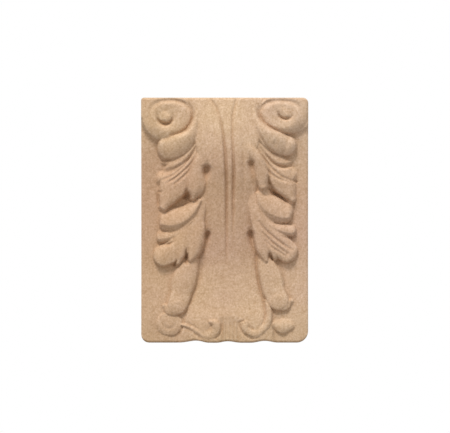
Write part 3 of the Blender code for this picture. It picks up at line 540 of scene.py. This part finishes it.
@dataclass(frozen=True)
class LowerAcanthus(CarvedTier):
    """The lower leaves: three folds, the pawed body, a spur and the finger with its eye."""

    lobes: tuple[Lobe, ...] = (
        # left: third fold, body, second fold, spur and finger
        Lobe(((-11.5, 43.7, 0.5, 14.3), (-15.5, 40.3, 1.2, 13.5), (-19, 38.4, 1.6, 13.0),
              (-22.6, 37.8, 1.9, 12.4)), -0.35, 0.9, 0.6, 1.3, 1.3),
        Lobe(((-7.8, 54, 1.8, 14.2), (-9.4, 46.5, 2.5, 14.1), (-12.3, 39.6, 4.0, 14.1),
              (-16.8, 33.8, 3.7, 13.9), (-21.9, 31.0, 3.5, 13.2)), -0.1, 1.2, 0.4, 2.2, 1.1, 3.2),
        Lobe(((-8.8, 51.2, 1.2, 15.2), (-12.0, 47.1, 2.7, 15.0), (-15.8, 44.8, 3.8, 14.6),
              (-19.6, 44.1, 4.1, 14.0), (-21.0, 44.1, 3.8, 13.6)), -0.5, 2.7, 1.4, 1.25, 1.6),
        Lobe(((-14.8, 34.6, 1.3, 14.1), (-15.8, 31.0, 1.2, 13.9),
              (-16.5, 28.8, 0.7, 13.4)), 0.0, 0.4, 0.4),
        Lobe(((-8.3, 46, 1.2, 13.6), (-9.3, 40.4, 2.2, 14.3), (-10.0, 36, 2.6, 14.3),
              (-10.9, 32.6, 2.0, 14.1), (-12.1, 29.8, 0.8, 13.7)), 0.0, 0.5, 0.4),
        # right: the same in the same order
        Lobe(((14, 43.9, 0.8, 14.3), (18.3, 41.3, 1.3, 13.8), (21.5, 40.4, 1.7, 13.5),
              (24.0, 40.1, 1.9, 13.1)), -0.35, 0.9, 0.9, 1.5, 1.2),
        Lobe(((9.8, 55, 1.8, 14.3), (11.8, 47.5, 2.8, 14.6), (14.8, 40.6, 4.0, 14.3),
              (19.4, 35.2, 4.3, 13.9), (23.0, 32.4, 3.6, 13.2)), -0.1, 1.3, 0.5, 2.2, 1.2, 3.2),
        Lobe(((12.2, 53.6, 1.2, 14.9), (14.2, 50.6, 3.2, 15.1), (17.4, 48.2, 4.2, 14.8),
              (20.4, 47.0, 4.2, 14.2), (22.2, 46.7, 3.8, 13.8)), -0.5, 1.9, 1.4, 1.25, 1.6),
        Lobe(((16.6, 34.4, 1.2, 14.1), (17.5, 32.0, 0.9, 13.8),
              (18.1, 30.2, 0.5, 13.3)), 0.0, 0.4, 0.4),
        Lobe(((11.0, 46, 1.2, 13.9), (12.4, 41, 2.0, 14.4), (13.4, 36.5, 2.2, 14.3),
              (14.1, 32.6, 1.8, 14.1), (15.0, 29.6, 0.7, 13.6)), 0.0, 0.5, 0.4),
    )
    cuts: tuple[Groove, ...] = (
        # soft hollows beside the fingers, under the drilled eyes
        Groove(((-5.5, 40.2, .7, .3), (-5.8, 39.3, .9, 1.2), (-6.2, 37.9, 1.1, 1.6),
                (-6.8, 36.0, 1.0, 1.2), (-7.6, 33.8, .9, .8), (-8.7, 30.8, .9, .6))),
        Groove(((9.3, 40.3, .9, .3), (9.6, 39.3, 1.1, 1.3), (9.9, 37.8, 1.2, 1.4),
                (10.2, 35.8, 1.1, 1.0), (10.8, 33.4, .9, .6), (12.2, 30.4, .8, .5))),
        # hollow beside each tongue
        Groove(((-7.4, 30.0, .9, .2), (-8.2, 26.2, 1.2, .4), (-9.6, 21.4, 1.0, .5),
                (-11.2, 17.2, .7, .6), (-12.3, 13.8, .5, .4))),
        Groove(((11.4, 31.0, .6, .3), (11.8, 27.0, .6, .7), (12.7, 21.4, .65, 1.0),
                (13.7, 17.4, .6, .9), (14.6, 14.6, .5, .5))),
        # notches and flutes, left then right
        Groove(((-13.4, 34.0, .3, .1), (-13.6, 32.2, .35, 1.3), (-13.4, 30.6, .5, 1.7),
                (-13.4, 29.2, .8, 1.2))),
        Groove(((-16.9, 30.0, .25, .1), (-17.2, 28.9, .3, 1.0), (-17.7, 27.8, .4, 1.0))),
        Groove(((-18.2, 36.0, .4, .3), (-19.8, 35.3, .5, 1.0), (-21.8, 35.2, .6, .6),
                (-23.6, 35.5, .7, .2))),
        Groove(((12.4, 43.4, .35, .3), (15.0, 40.2, .45, .6), (17.7, 37.8, .45, .6),
                (21.6, 34.9, .45, .55), (24.4, 33.2, .4, .2))),
        Groove(((13.8, 39.4, .35, .3), (16.4, 36.7, .45, .5), (19.3, 34.3, .45, .5),
                (22.8, 31.8, .4, .3))),
        Groove(((14.8, 36.6, .35, .3), (17.0, 34.4, .4, .4), (20.0, 32.4, .4, .4),
                (22.2, 31.1, .4, .2))),
        Groove(((16.3, 33.0, .25, .1), (16.7, 31.5, .35, 1.1), (17.4, 29.8, .45, 1.3))),
        Groove(((19.0, 31.0, .25, .1), (19.4, 30.1, .3, .7), (19.9, 29.3, .4, .6))),
        Groove(((21.2, 38.0, .4, .2), (23.2, 37.5, .5, .6), (25.4, 37.9, .6, .3))),
    )
    eyes: tuple[DrilledEye, ...] = (DrilledEye(-5.9, 38.8, 1.0, 0.4, 4.0),
                                    DrilledEye(9.7, 38.9, 1.3, 0.45, 4.4))


@dataclass(frozen=True)
class HangingTongues(CarvedTier):
    """The tongue that hangs from each lower leaf and curls outwards above the foot."""

    lobes: tuple[Lobe, ...] = (
        # left tongue, its lower end and its curl, then the right ones
        Lobe(((-11.0, 31.5, 1.6, 12.6), (-12.6, 26.5, 3.1, 13.0), (-14.3, 21.5, 3.8, 13.3),
              (-15.2, 17.5, 3.4, 13.3)), 0.0, 0.5, 0.7, 2.2, 1.0, 1.6),
        Lobe(((-14.4, 22.5, 3.2, 12.7), (-15.1, 18.5, 3.4, 13.2), (-15.9, 15.6, 3.4, 13.6),
              (-16.7, 13.4, 3.2, 13.9)), 0.0, 0.4, 0.5, 2.2, 1.0, 3.0),
        Lobe(((-16.9, 13.2, 3.0, 13.9), (-19.2, 12.2, 2.2, 13.6),
              (-21.2, 13.2, 0.9, 12.6)), 0.3, 0.9, 0.4, 2.2, 1.0, 3.0),
        Lobe(((13.8, 31.5, 1.6, 12.6), (15.5, 26.6, 3.1, 13.1), (16.9, 22.3, 3.7, 13.3),
              (17.5, 18.6, 3.5, 13.4)), 0.0, 0.5, 0.5, 2.2, 1.0, 1.6),
        Lobe(((17.0, 22.5, 3.3, 12.8), (17.6, 19.5, 3.4, 13.3), (18.5, 17.0, 3.5, 13.6),
              (19.4, 15.2, 3.4, 13.9)), 0.0, 0.4, 0.5, 2.2, 1.0, 3.0),
        Lobe(((19.6, 15.0, 3.1, 13.9), (21.8, 14.0, 2.2, 13.6),
              (23.8, 14.9, 0.9, 12.7)), 0.3, 0.9, 0.4, 2.2, 1.0, 3.0),
    )


@dataclass(frozen=True)
class FootOrnament(CarvedTier):
    """The corner beads, the rims of the skirt and the two small scrolls."""

    lobes: tuple[Lobe, ...] = (
        # left bead, rim of the skirt and scroll
        Lobe(((-18.9, 6.6, 3.9, 13.2), (-20.3, 6.8, 3.9, 13.0)), -0.2, 0.4, 0.5, 2.4, 1.0, 3.0),
        Lobe(((-15.0, 6.5, 0.3, 13.6), (-13.2, 6.0, 0.45, 13.9), (-11.2, 5.0, 0.55, 14.1),
              (-9.4, 3.8, 0.7, 14.3)), 0.0, 0.2, 0.2),
        Lobe(((-9.6, 4.2, 0.6, 14.3), (-7, 2.6, 1.0, 14.5), (-4.3, 2.8, 1.4, 14.8),
              (-2.7, 4.8, 1.4, 15.1), (-3.3, 7.0, 1.2, 15.2), (-4.8, 7.7, 0.6, 14.9)), 0.0, 0.3, 0.4),
        # the same on the right
        Lobe(((18.4, 6.8, 1.6, 13.2), (20.6, 6.1, 2.6, 13.6),
              (23.0, 6.5, 2.2, 13.2)), -0.2, 1.1, 0.5, 2.0, 1.0, 3.0),
        Lobe(((15.0, 15.0, 0.4, 13.0), (15.8, 12.4, 0.8, 13.6), (16.0, 9.4, 1.0, 13.9),
              (15.3, 6.6, 1.1, 14.1), (13.6, 4.7, 1.1, 14.2)), 0.0, 0.4, 0.3),
        Lobe(((13.8, 4.4, 0.9, 14.3), (11.4, 3.2, 1.3, 14.6), (9.0, 3.4, 1.5, 14.9),
              (7.6, 5.2, 1.3, 15.1), (7.5, 7.0, 0.9, 15.1)), 0.0, 0.3, 0.4),
    )
    cuts: tuple[Groove, ...] = (
        # ring of the left bead, edges of the rims and turns of the scrolls
        Groove(((-22.3, 8.4, .4, .1), (-22.0, 6.5, .6, .2), (-20.2, 5.2, .6, .25), (-18.2, 5.6, .6, .2),
                (-17.1, 7.4, .4, .1))),
        Groove(((-14.8, 5.2, .5, .15), (-12.8, 4.8, .6, .2), (-10.8, 3.6, .6, .25),
                (-8.6, 1.8, .6, .35))),
        Groove(((-14.0, 7.2, .4, .2), (-12.0, 6.6, .4, .3), (-9.6, 5.2, .4, .2))),
        Groove(((-6.2, 4.8, .7, .2), (-5.2, 5.2, .8, .35), (-4.6, 6.2, .6, .3))),
        Groove(((-1.2, 8.2, .4, .2), (-0.9, 6.0, .4, .4), (-1.4, 3.6, .4, .4), (-2.8, 1.8, .4, .3))),
        Groove(((9.2, 5.6, .6, .3), (10.2, 5.0, .6, .3))),
        Groove(((5.6, 7.4, .4, .4), (5.9, 5.2, .45, .6), (7.2, 3.2, .5, .6), (10.0, 1.7, .5, .4))),
        Groove(((6.1, 7.7, .35, .3), (7.0, 7.8, .4, .5), (7.8, 7.0, .4, .3))),
        Groove(((14.2, 14.4, .35, .4), (14.9, 11.8, .4, .5), (14.7, 9.2, .4, .45), (13.9, 7.2, .35, .3),
                (12.6, 5.8, .3, .1))),
    )


Ornament = tuple[Bell | Volutes | CarvedTier, ...]


@dataclass(frozen=True)
class Block:
    """The pressed block: its outline, its sheet and its flat sides and back."""

    width: float = 0.060
    height: float = 0.088
    depth: float = 0.018
    field: Pair = (59.7, 87.5)
    field_start: Pair = (-29.6, 0.1)
    columns: int = 222
    rows: int = 322
    top_left: float = 0.0010
    top_right: float = 0.0020
    foot_left: float = 0.0029
    foot_right: float = 0.0042
    foot_flats: Knots = ((-26.6, -18.2), (-5.6, -2.8), (5.8, 9.4), (19.2, 24.4))
    foot_rises: Triple = (0.75, 0.50, 0.65)
    foot_skews: Triple = (1.5, 0.9, 1.0)
    edge_ease: float = 0.09
    edge_power: int = 9
    arris_roll: float = 0.0009
    arris_fall: float = 0.00045
    press_marks: float = 0.000045
    press_mark_size: float = 0.0016
    side_steps: int = 5
    shade_reach: int = 9
    shade_spread: float = 4.5
    shade_depth: float = 0.0008

    def corner(self, x: np.ndarray, radius: float, side: Side) -> np.ndarray:
        """How far a rounded corner lifts the outline at each x."""
        inset = np.clip(radius - (self.width / 2 - side.value * x), 0, radius)
        return radius - np.sqrt(radius**2 - inset**2)

    def foot_line(self, x: np.ndarray) -> np.ndarray:
        """Draws the lower outline: flats that stand on the floor, with a shallow rise between them.

        Args:
            x: Places to read.

        Returns:
            The height of the outline at each place.
        """
        scale_x, scale_z = self.width / self.field[0], self.height / self.field[1]
        line = self.corner(x, self.foot_left, Side.LEFT) + self.corner(x, self.foot_right, Side.RIGHT)
        for (_, start), (end, _), rise, skew in zip(self.foot_flats, self.foot_flats[1:],
                                                    self.foot_rises, self.foot_skews):
            t = np.clip((x / scale_x - start) / (end - start), 0, 1)
            line = line + rise * scale_z * np.sin(math.pi * t**skew) ** 2
        return line

    def head_line(self, x: np.ndarray) -> np.ndarray:
        """Upper outline at each x: straight, with two rounded corners."""
        return (self.height - self.corner(x, self.top_left, Side.LEFT)
                - self.corner(x, self.top_right, Side.RIGHT))

    def eased(self, t: np.ndarray) -> np.ndarray:
        """Spreads even steps from -1 to 1 so that they crowd towards both ends."""
        return (1 + self.edge_ease) * t - self.edge_ease * t**self.edge_power

    def carve(self, parts: Ornament) -> bmesh.types.BMesh:
        """Makes the carved sheet.

        Args:
            parts: The ornament, in the order it is raised.

        Returns:
            An open grid fitted to the outline, with two vertex layers that mask the painted shade in
            the hollows and the painted highlight on the ridges.
        """
        sheet = bmesh.new()
        bmesh.ops.create_grid(sheet, x_segments=self.columns, y_segments=self.rows, size=1.0)
        flat = np.array([vertex.co for vertex in sheet.verts])
        x = self.eased(flat[:, 0]) * self.width / 2
        low, high = self.foot_line(x), self.head_line(x)
        z = low + (high - low) * (self.eased(flat[:, 1]) + 1) / 2
        drawn = ReliefField(self.field_start[0] + (x / self.width + 0.5) * self.field[0],
                            self.field_start[1] + z / self.height * self.field[1], np.zeros(len(x)))
        for part in parts:
            part.raise_forms(drawn)
        for part in parts:
            part.cut_lines(drawn)
        height = drawn.height * self.depth / drawn.height.max()
        # masks of the hollows and ridges, for the painted shade and painted highlight of the finish
        painted_shade, painted_highlight = self.shade_masks(height, flat)
        edge = np.minimum(np.minimum(self.width / 2 - np.abs(x), z - low), high - z)
        height -= self.arris_fall * (1 - np.clip(edge / self.arris_roll, 0, 1)) ** 2
        painted_shade_layer = sheet.verts.layers.float.new("painted_shade")
        painted_highlight_layer = sheet.verts.layers.float.new("painted_highlight")
        for vertex, across, out, up, deep, proud in zip(sheet.verts, x, height, z, painted_shade, painted_highlight):
            mark = noise.noise(Vector((across, up, 0.0)) / self.press_mark_size)
            vertex.co = (across, -min(out + self.press_marks * mark, self.depth), up)
            vertex[painted_shade_layer], vertex[painted_highlight_layer] = deep, proud
        return sheet

    def shade_masks(self, height: np.ndarray, flat: np.ndarray) -> tuple[np.ndarray, np.ndarray]:
        """Measures how far each point lies below or above its surroundings.

        Args:
            height: Height of each point of the sheet.
            flat: Place of each point on the plain grid.

        Returns:
            Masks from 0 to 1 of the hollows and of the ridges, where the finish paints shade and
            highlight.
        """
        order = np.lexsort((flat[:, 0], flat[:, 1]))
        grid = height[order].reshape(self.rows + 1, self.columns + 1)
        reach, total = self.shade_reach, grid
        for axis in (0, 1):
            pad = [(reach, reach) if axis == a else (0, 0) for a in (0, 1)]
            source = np.pad(total, pad, mode="edge")
            total, weight = np.zeros_like(grid), 0.0
            for step in range(2 * reach + 1):
                share = math.exp(-(((step - reach) / self.shade_spread) ** 2))
                window = slice(step, step + grid.shape[axis])
                piece = source[window] if axis == 0 else source[:, window]
                total, weight = total + share * piece, weight + share
            total = total / weight
        lift = np.empty(len(height))
        lift[order] = (grid - total).ravel() / self.shade_depth
        return np.clip(-lift, 0, 1), np.clip(lift, 0, 1)

    def close(self, sheet: bmesh.types.BMesh) -> None:
        """Draws the border of the sheet back to a flat plane and closes it there.

        Args:
            sheet: The carved sheet, which is changed in place.
        """
        for face in sheet.faces:
            face.smooth = True
        rim = [edge for edge in sheet.edges if edge.is_boundary]
        for step in range(self.side_steps):
            for edge in rim:
                edge.smooth = step > 0
            share = 1 / (self.side_steps - step)
            drawn = bmesh.ops.extrude_edge_only(sheet, edges=rim)["geom"]
            for item in drawn:
                if isinstance(item, bmesh.types.BMVert):
                    item.co.y -= item.co.y * share
            edges = (item for item in drawn if isinstance(item, bmesh.types.BMEdge))
            rim = [edge for edge in edges if edge.is_boundary]
        back = bmesh.ops.holes_fill(sheet, edges=rim)["faces"]
        for face in back:
            face.material_index = 1
            for edge in face.edges:
                edge.smooth = False
        bmesh.ops.translate(sheet, verts=sheet.verts, vec=(0.0, self.depth / 2, 0.0))
        bmesh.ops.recalc_face_normals(sheet, faces=sheet.faces)

    def build(self, parts: Ornament, finishes: tuple[bpy.types.Material, ...],
              name: str) -> bpy.types.Object:
        """Makes the finished piece.

        Args:
            parts: The ornament of the carved face.
            finishes: The finish of the face and sides, then that of the back.
            name: Name of the new object.

        Returns:
            The piece, standing at its place in the frame.
        """
        sheet = self.carve(parts)
        self.close(sheet)
        data = bpy.data.meshes.new(name)
        sheet.to_mesh(data)
        sheet.free()
        for finish in finishes:
            data.materials.append(finish)
        piece = bpy.data.objects.new(name, data)
        bpy.context.scene.collection.objects.link(piece)
        return piece


@dataclass(frozen=True)
class FlourSpeckle:
    """Shader group of the wood flour: fine and coarse specks, dark flecks and a slow drift of tone."""

    name: str = "flour_speckle"
    scales: tuple[tuple[str, float], ...] = (("Speck Scale", 1500.0), ("Blotch Scale", 520.0),
                                             ("Fleck Scale", 620.0), ("Drift Scale", 42.0))
    fine_noise: Pair = (3.0, 0.65)
    soft_noise: Pair = (2.0, 0.5)
    speck_range: Pair = (0.3, 0.7)
    fleck_range: Pair = (0.22, 0.06)
    drift_range: Pair = (0.32, 0.68)

    def build(self) -> bpy.types.NodeTree:
        """Makes the group.

        Returns:
            The group, with its scales as inputs and its masks and height as outputs.
        """
        group = bpy.data.node_groups.new(self.name, "ShaderNodeTree")
        sockets = group.interface
        sockets.new_socket("Vector", in_out="INPUT", socket_type="NodeSocketVector")
        for name, default in self.scales:
            scale = sockets.new_socket(name, in_out="INPUT", socket_type="NodeSocketFloat")
            scale.default_value = default
        for name in ("Speck", "Blotch", "Fleck", "Drift", "Height"):
            sockets.new_socket(name, in_out="OUTPUT", socket_type="NodeSocketFloat")
        source = group.nodes.new("NodeGroupInput").outputs

        def grain(scale: str, character: Pair) -> Socket:
            """Reads noise at one of the group's scales.

            Args:
                scale: The input that holds the scale.
                character: The noise's detail and roughness.

            Returns:
                The noise.
            """
            detail, rough = character
            return add_node(group, "ShaderNodeTexNoise", {
                "Vector": source["Vector"], "Scale": source[scale],
                "Detail": detail, "Roughness": rough}).outputs["Fac"]

        def ranged(value: Socket, ends: Pair) -> Socket:
            """Stretches a value to the range from 0 to 1.

            Args:
                value: The value to stretch.
                ends: What becomes 0 and what becomes 1.

            Returns:
                The stretched value.
            """
            low, high = ends
            return add_node(group, "ShaderNodeMapRange", {
                "Value": value, "From Min": low, "From Max": high}).outputs["Result"]

        speck = ranged(grain("Speck Scale", self.fine_noise), self.speck_range)
        blotch = ranged(grain("Blotch Scale", self.soft_noise), self.speck_range)
        drift = ranged(grain("Drift Scale", self.soft_noise), self.drift_range)
        cells = add_node(group, "ShaderNodeTexVoronoi", {
            "Vector": source["Vector"], "Scale": source["Fleck Scale"]})
        fleck = ranged(cells.outputs["Distance"], self.fleck_range)
        raised = add_node(group, "ShaderNodeMath", {0: speck, 1: fleck}, operation="SUBTRACT")
        add_node(group, "NodeGroupOutput", {
            "Speck": speck, "Blotch": blotch, "Fleck": fleck, "Drift": drift,
            "Height": raised.outputs["Value"]})
        return group


@dataclass(frozen=True)
class PressedWood:
    """The finish: matte pressed wood flour, with painted light and shade: warmer and darker in its
    hollows, lighter on its ridges, and changing with height and from left to right.
    """

    name: str = "pressed_wood_face"
    pink: Colour = (0.550, 0.360, 0.245)
    straw: Colour = (0.576, 0.388, 0.232)
    fleck_tone: Colour = (0.300, 0.170, 0.090)
    # painted shade, warmer and darker, laid in the hollows
    painted_shade_tone: Colour = (0.365, 0.198, 0.094)
    # painted highlight laid on the ridges
    painted_highlight_tone: Colour = (0.640, 0.460, 0.325)
    speck_depth: float = 0.19
    blotch_depth: float = 0.06
    speck_tint: Colour = (0.90, 1.15, 1.55)
    fleck_share: float = 0.22
    painted_shade_share: float = 0.45
    painted_highlight_share: float = 0.30
    straw_height: float = 0.030
    straw_at_foot: float = 0.35
    straw_in_drift: float = 0.7
    half_wide: float = 0.030
    tall: float = 0.088
    # painted light across the face: darker and yellower on the left, lighter and bluer on the right
    left_shade_tint: Colour = (0.972, 0.967, 0.915)
    right_light_tint: Colour = (1.060, 1.095, 1.125)
    # painted shade at the waist and painted light at the top and foot, with a slight shift of hue
    waist_shade_tint: Colour = (0.908, 0.873, 0.868)
    end_light_tint: Colour = (0.988, 1.014, 1.022)
    painted_light_by_height: Knots = ((0.0, 0.75), (0.15, 0.8), (0.25, 0.55), (0.4, 0.15), (0.62, 0.05),
                             (0.76, 0.45), (0.84, 0.95), (1.0, 1.0))
    specular: float = 0.25
    rough: float = 0.93
    speck_gloss: float = -0.08
    bump: float = 0.35
    bump_size: float = 0.00012

    def build(self, speckle: bpy.types.NodeTree) -> bpy.types.Material:
        """Makes the material.

        Args:
            speckle: The shared group of specks and drift.

        Returns:
            The material, with its colour, roughness and bump from nodes.
        """
        material = bpy.data.materials.new(self.name)
        material.use_nodes = True
        tree = material.node_tree
        shader = tree.nodes["Principled BSDF"]
        shader.inputs["Specular IOR Level"].default_value = self.specular
        place = tree.nodes.new("ShaderNodeTexCoord").outputs["Object"]
        axes = add_node(tree, "ShaderNodeSeparateXYZ", {"Vector": place}).outputs
        grain = add_node(tree, "ShaderNodeGroup", {"Vector": place}, node_tree=speckle).outputs

        def blend(first: Colour | Socket, second: Colour, share: Socket) -> Socket:
            """Mixes two colours by a mask.

            Args:
                first: The colour where the mask is 0.
                second: The colour where it is 1.
                share: The mask.

            Returns:
                The mixed colour.
            """
            under = first if isinstance(first, Socket) else (*first, 1.0)
            return add_node(tree, "ShaderNodeMix", {
                "Factor": share, "A": under, "B": (*second, 1.0)}, data_type="RGBA").outputs["Result"]

        def scaled(value: Socket, factor: float, add: float = 0.0) -> Socket:
            """Scales and shifts a value.

            Args:
                value: The value.
                factor: What it is multiplied by.
                add: What is added to the product.

            Returns:
                The result, kept from 0 to 1.
            """
            return add_node(tree, "ShaderNodeMath", {0: value, 1: factor, 2: add},
                            operation="MULTIPLY_ADD", use_clamp=True).outputs["Value"]

        def mask(name: str) -> Socket:
            """Reads a mask kept on the mesh's vertices, by its name."""
            return add_node(tree, "ShaderNodeAttribute", {}, attribute_name=name).outputs["Fac"]

        def tinted(first: Socket, dark: Colour, light: Colour, share: Socket) -> Socket:
            """Multiplies a colour by a tint that changes with a mask.

            Args:
                first: The colour.
                dark: The tint where the mask is 0.
                light: The tint where it is 1.
                share: The mask.

            Returns:
                The tinted colour.
            """
            tint = add_node(tree, "ShaderNodeMix", {"Factor": share, "A": dark, "B": light},
                            data_type="VECTOR")
            return add_node(tree, "ShaderNodeVectorMath", {0: first, 1: tint.outputs["Result"]},
                            operation="MULTIPLY").outputs["Vector"]

        low = add_node(tree, "ShaderNodeMapRange", {
            "Value": axes["Z"], "From Min": self.straw_height, "From Max": 0.0})
        pale = add_node(tree, "ShaderNodeFloatCurve", {"Value": scaled(axes["Z"], 1 / self.tall)})
        curve = pale.mapping.curves[0]
        for place_up, level in self.painted_light_by_height:
            if place_up in (0.0, 1.0):
                curve.points[int(place_up)].location = (place_up, level)
            else:
                curve.points.new(place_up, level)
        pale.mapping.update()
        strawed = add_node(tree, "ShaderNodeMath", {
            0: scaled(low.outputs["Result"], self.straw_at_foot),
            1: scaled(grain["Drift"], self.straw_in_drift)}, operation="ADD", use_clamp=True)
        across = scaled(axes["X"], 0.5 / self.half_wide, 0.5)
        colour = blend(self.pink, self.straw, strawed.outputs["Value"])
        # painted light and shade by height: darker at the waist, lighter at the top and the foot
        colour = tinted(colour, self.waist_shade_tint, self.end_light_tint, pale.outputs["Value"])
        # painted light and shade from left to right, with a slight shift of hue
        colour = tinted(colour, self.left_shade_tint, self.right_light_tint, across)
        # painted highlight on the ridges
        colour = blend(colour, self.painted_highlight_tone, scaled(mask("painted_highlight"), self.painted_highlight_share))
        # painted shade, warmer and darker, in the hollows
        colour = blend(colour, self.painted_shade_tone, scaled(mask("painted_shade"), self.painted_shade_share))
        colour = blend(colour, self.fleck_tone, scaled(grain["Fleck"], self.fleck_share))
        for mask_name, depth in (("Speck", self.speck_depth), ("Blotch", self.blotch_depth)):
            dark = tuple(1.0 - depth * share for share in self.speck_tint)
            light = tuple(1.0 + depth * share for share in self.speck_tint)
            colour = tinted(colour, dark, light, grain[mask_name])
        roughness = scaled(grain["Speck"], self.speck_gloss, self.rough)
        bump = add_node(tree, "ShaderNodeBump", {
            "Strength": self.bump, "Distance": self.bump_size, "Height": grain["Height"]})
        for name, socket in (("Base Color", colour), ("Roughness", roughness),
                             ("Normal", bump.outputs["Normal"])):
            tree.links.new(socket, shader.inputs[name])
        return material


@dataclass(frozen=True)
class Studio:
    """A pale floor, a white surround, one large soft lamp from above and a long lens."""

    face_y: float = -0.003
    scale: float = 0.0003596
    width_px: float = 450.0
    height_px: float = 433.0
    middle_px: float = 224.7
    foot_px: float = 342.6
    distance: float = 1.6
    floor_size: float = 1.1
    floor_tone: Colour = (0.36, 0.36, 0.36)
    floor_rough: float = 0.9
    surround: float = 0.76
    key_power: float = 5.5
    key_size: float = 0.26
    key_place: Triple = (-0.14, -0.42, 0.74)
    key_aim: Triple = (0.0, 0.0, 0.044)
    clip: Pair = (0.01, 20.0)

    def lay_floor(self) -> None:
        """Lays the floor and marks it as stage."""
        mesh = bmesh.new()
        bmesh.ops.create_grid(mesh, x_segments=1, y_segments=1, size=self.floor_size)
        data = bpy.data.meshes.new("floor")
        mesh.to_mesh(data)
        mesh.free()
        material = bpy.data.materials.new("floor_paper")
        material.use_nodes = True
        tree = material.node_tree
        paper = tree.nodes["Principled BSDF"]
        paper.inputs["Base Color"].default_value = (*self.floor_tone, 1.0)
        paper.inputs["Roughness"].default_value = self.floor_rough
        seen = tree.nodes.new("ShaderNodeLightPath").outputs["Is Camera Ray"]
        glow = tree.nodes.new("ShaderNodeEmission").outputs["Emission"]
        mix = add_node(tree, "ShaderNodeMixShader", {"Fac": seen, 1: paper.outputs["BSDF"], 2: glow})
        tree.links.new(mix.outputs["Shader"], tree.nodes["Material Output"].inputs["Surface"])
        data.materials.append(material)
        floor = bpy.data.objects.new("floor", data)
        bpy.context.scene.collection.objects.link(floor)

    def light(self) -> None:
        """Hangs the lamp and fills the room with a soft light that the camera sees as white."""
        lamp_data = bpy.data.lights.new("key", "AREA")
        lamp_data.shape, lamp_data.size, lamp_data.energy = "DISK", self.key_size, self.key_power
        lamp = bpy.data.objects.new("key", lamp_data)
        lamp.location = self.key_place
        aim = Vector(self.key_aim) - lamp.location
        lamp.rotation_euler = aim.to_track_quat("-Z", "Y").to_euler()
        bpy.context.scene.collection.objects.link(lamp)
        world = bpy.data.worlds.new("studio")
        world.use_nodes = True
        tree = world.node_tree
        background = tree.nodes["Background"]
        background.inputs["Color"].default_value = (1.0, 1.0, 1.0, 1.0)
        seen = tree.nodes.new("ShaderNodeLightPath").outputs["Is Camera Ray"]
        level = add_node(tree, "ShaderNodeMapRange", {
            "Value": seen, "To Min": self.surround, "To Max": 1.0})
        tree.links.new(level.outputs["Result"], background.inputs["Strength"])
        bpy.context.scene.world = world
        bpy.context.scene.view_settings.view_transform = "Standard"

    def place_camera(self) -> None:
        """Sets the camera square to the face, as far away as a long lens stands."""
        data = bpy.data.cameras.new("camera")
        data.lens = data.sensor_width * self.distance / (self.width_px * self.scale)
        data.clip_start, data.clip_end = self.clip
        camera = bpy.data.objects.new("camera", data)
        camera.location = ((self.width_px / 2 - self.middle_px) * self.scale,
                           self.face_y - self.distance,
                           (self.foot_px - self.height_px / 2) * self.scale)
        camera.rotation_euler = (math.pi / 2, 0.0, 0.0)
        bpy.context.scene.collection.objects.link(camera)
        bpy.context.scene.camera = camera


def main() -> None:
    """Loads the frame, builds the capital over it and lights it."""
    logging.basicConfig(level=logging.INFO)
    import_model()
    speckle = FlourSpeckle().build()
    plain_back = PressedWood(name="pressed_wood_back", painted_shade_share=0.0, painted_highlight_share=0.0, bump=0.5)
    finishes = (PressedWood().build(speckle), plain_back.build(speckle))
    ornament = (Bell(), Volutes(), UpperAcanthus(), LowerAcanthus(), HangingTongues(), FootOrnament())
    capital = Block().build(ornament, finishes, "carved_capital")
    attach(capital, "root")
    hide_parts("capital")
    LOG.info("capital: %d faces", len(capital.data.polygons))
    studio = Studio()
    studio.lay_floor()
    studio.light()
    studio.place_camera()


if __name__ == "__main__":
    main()
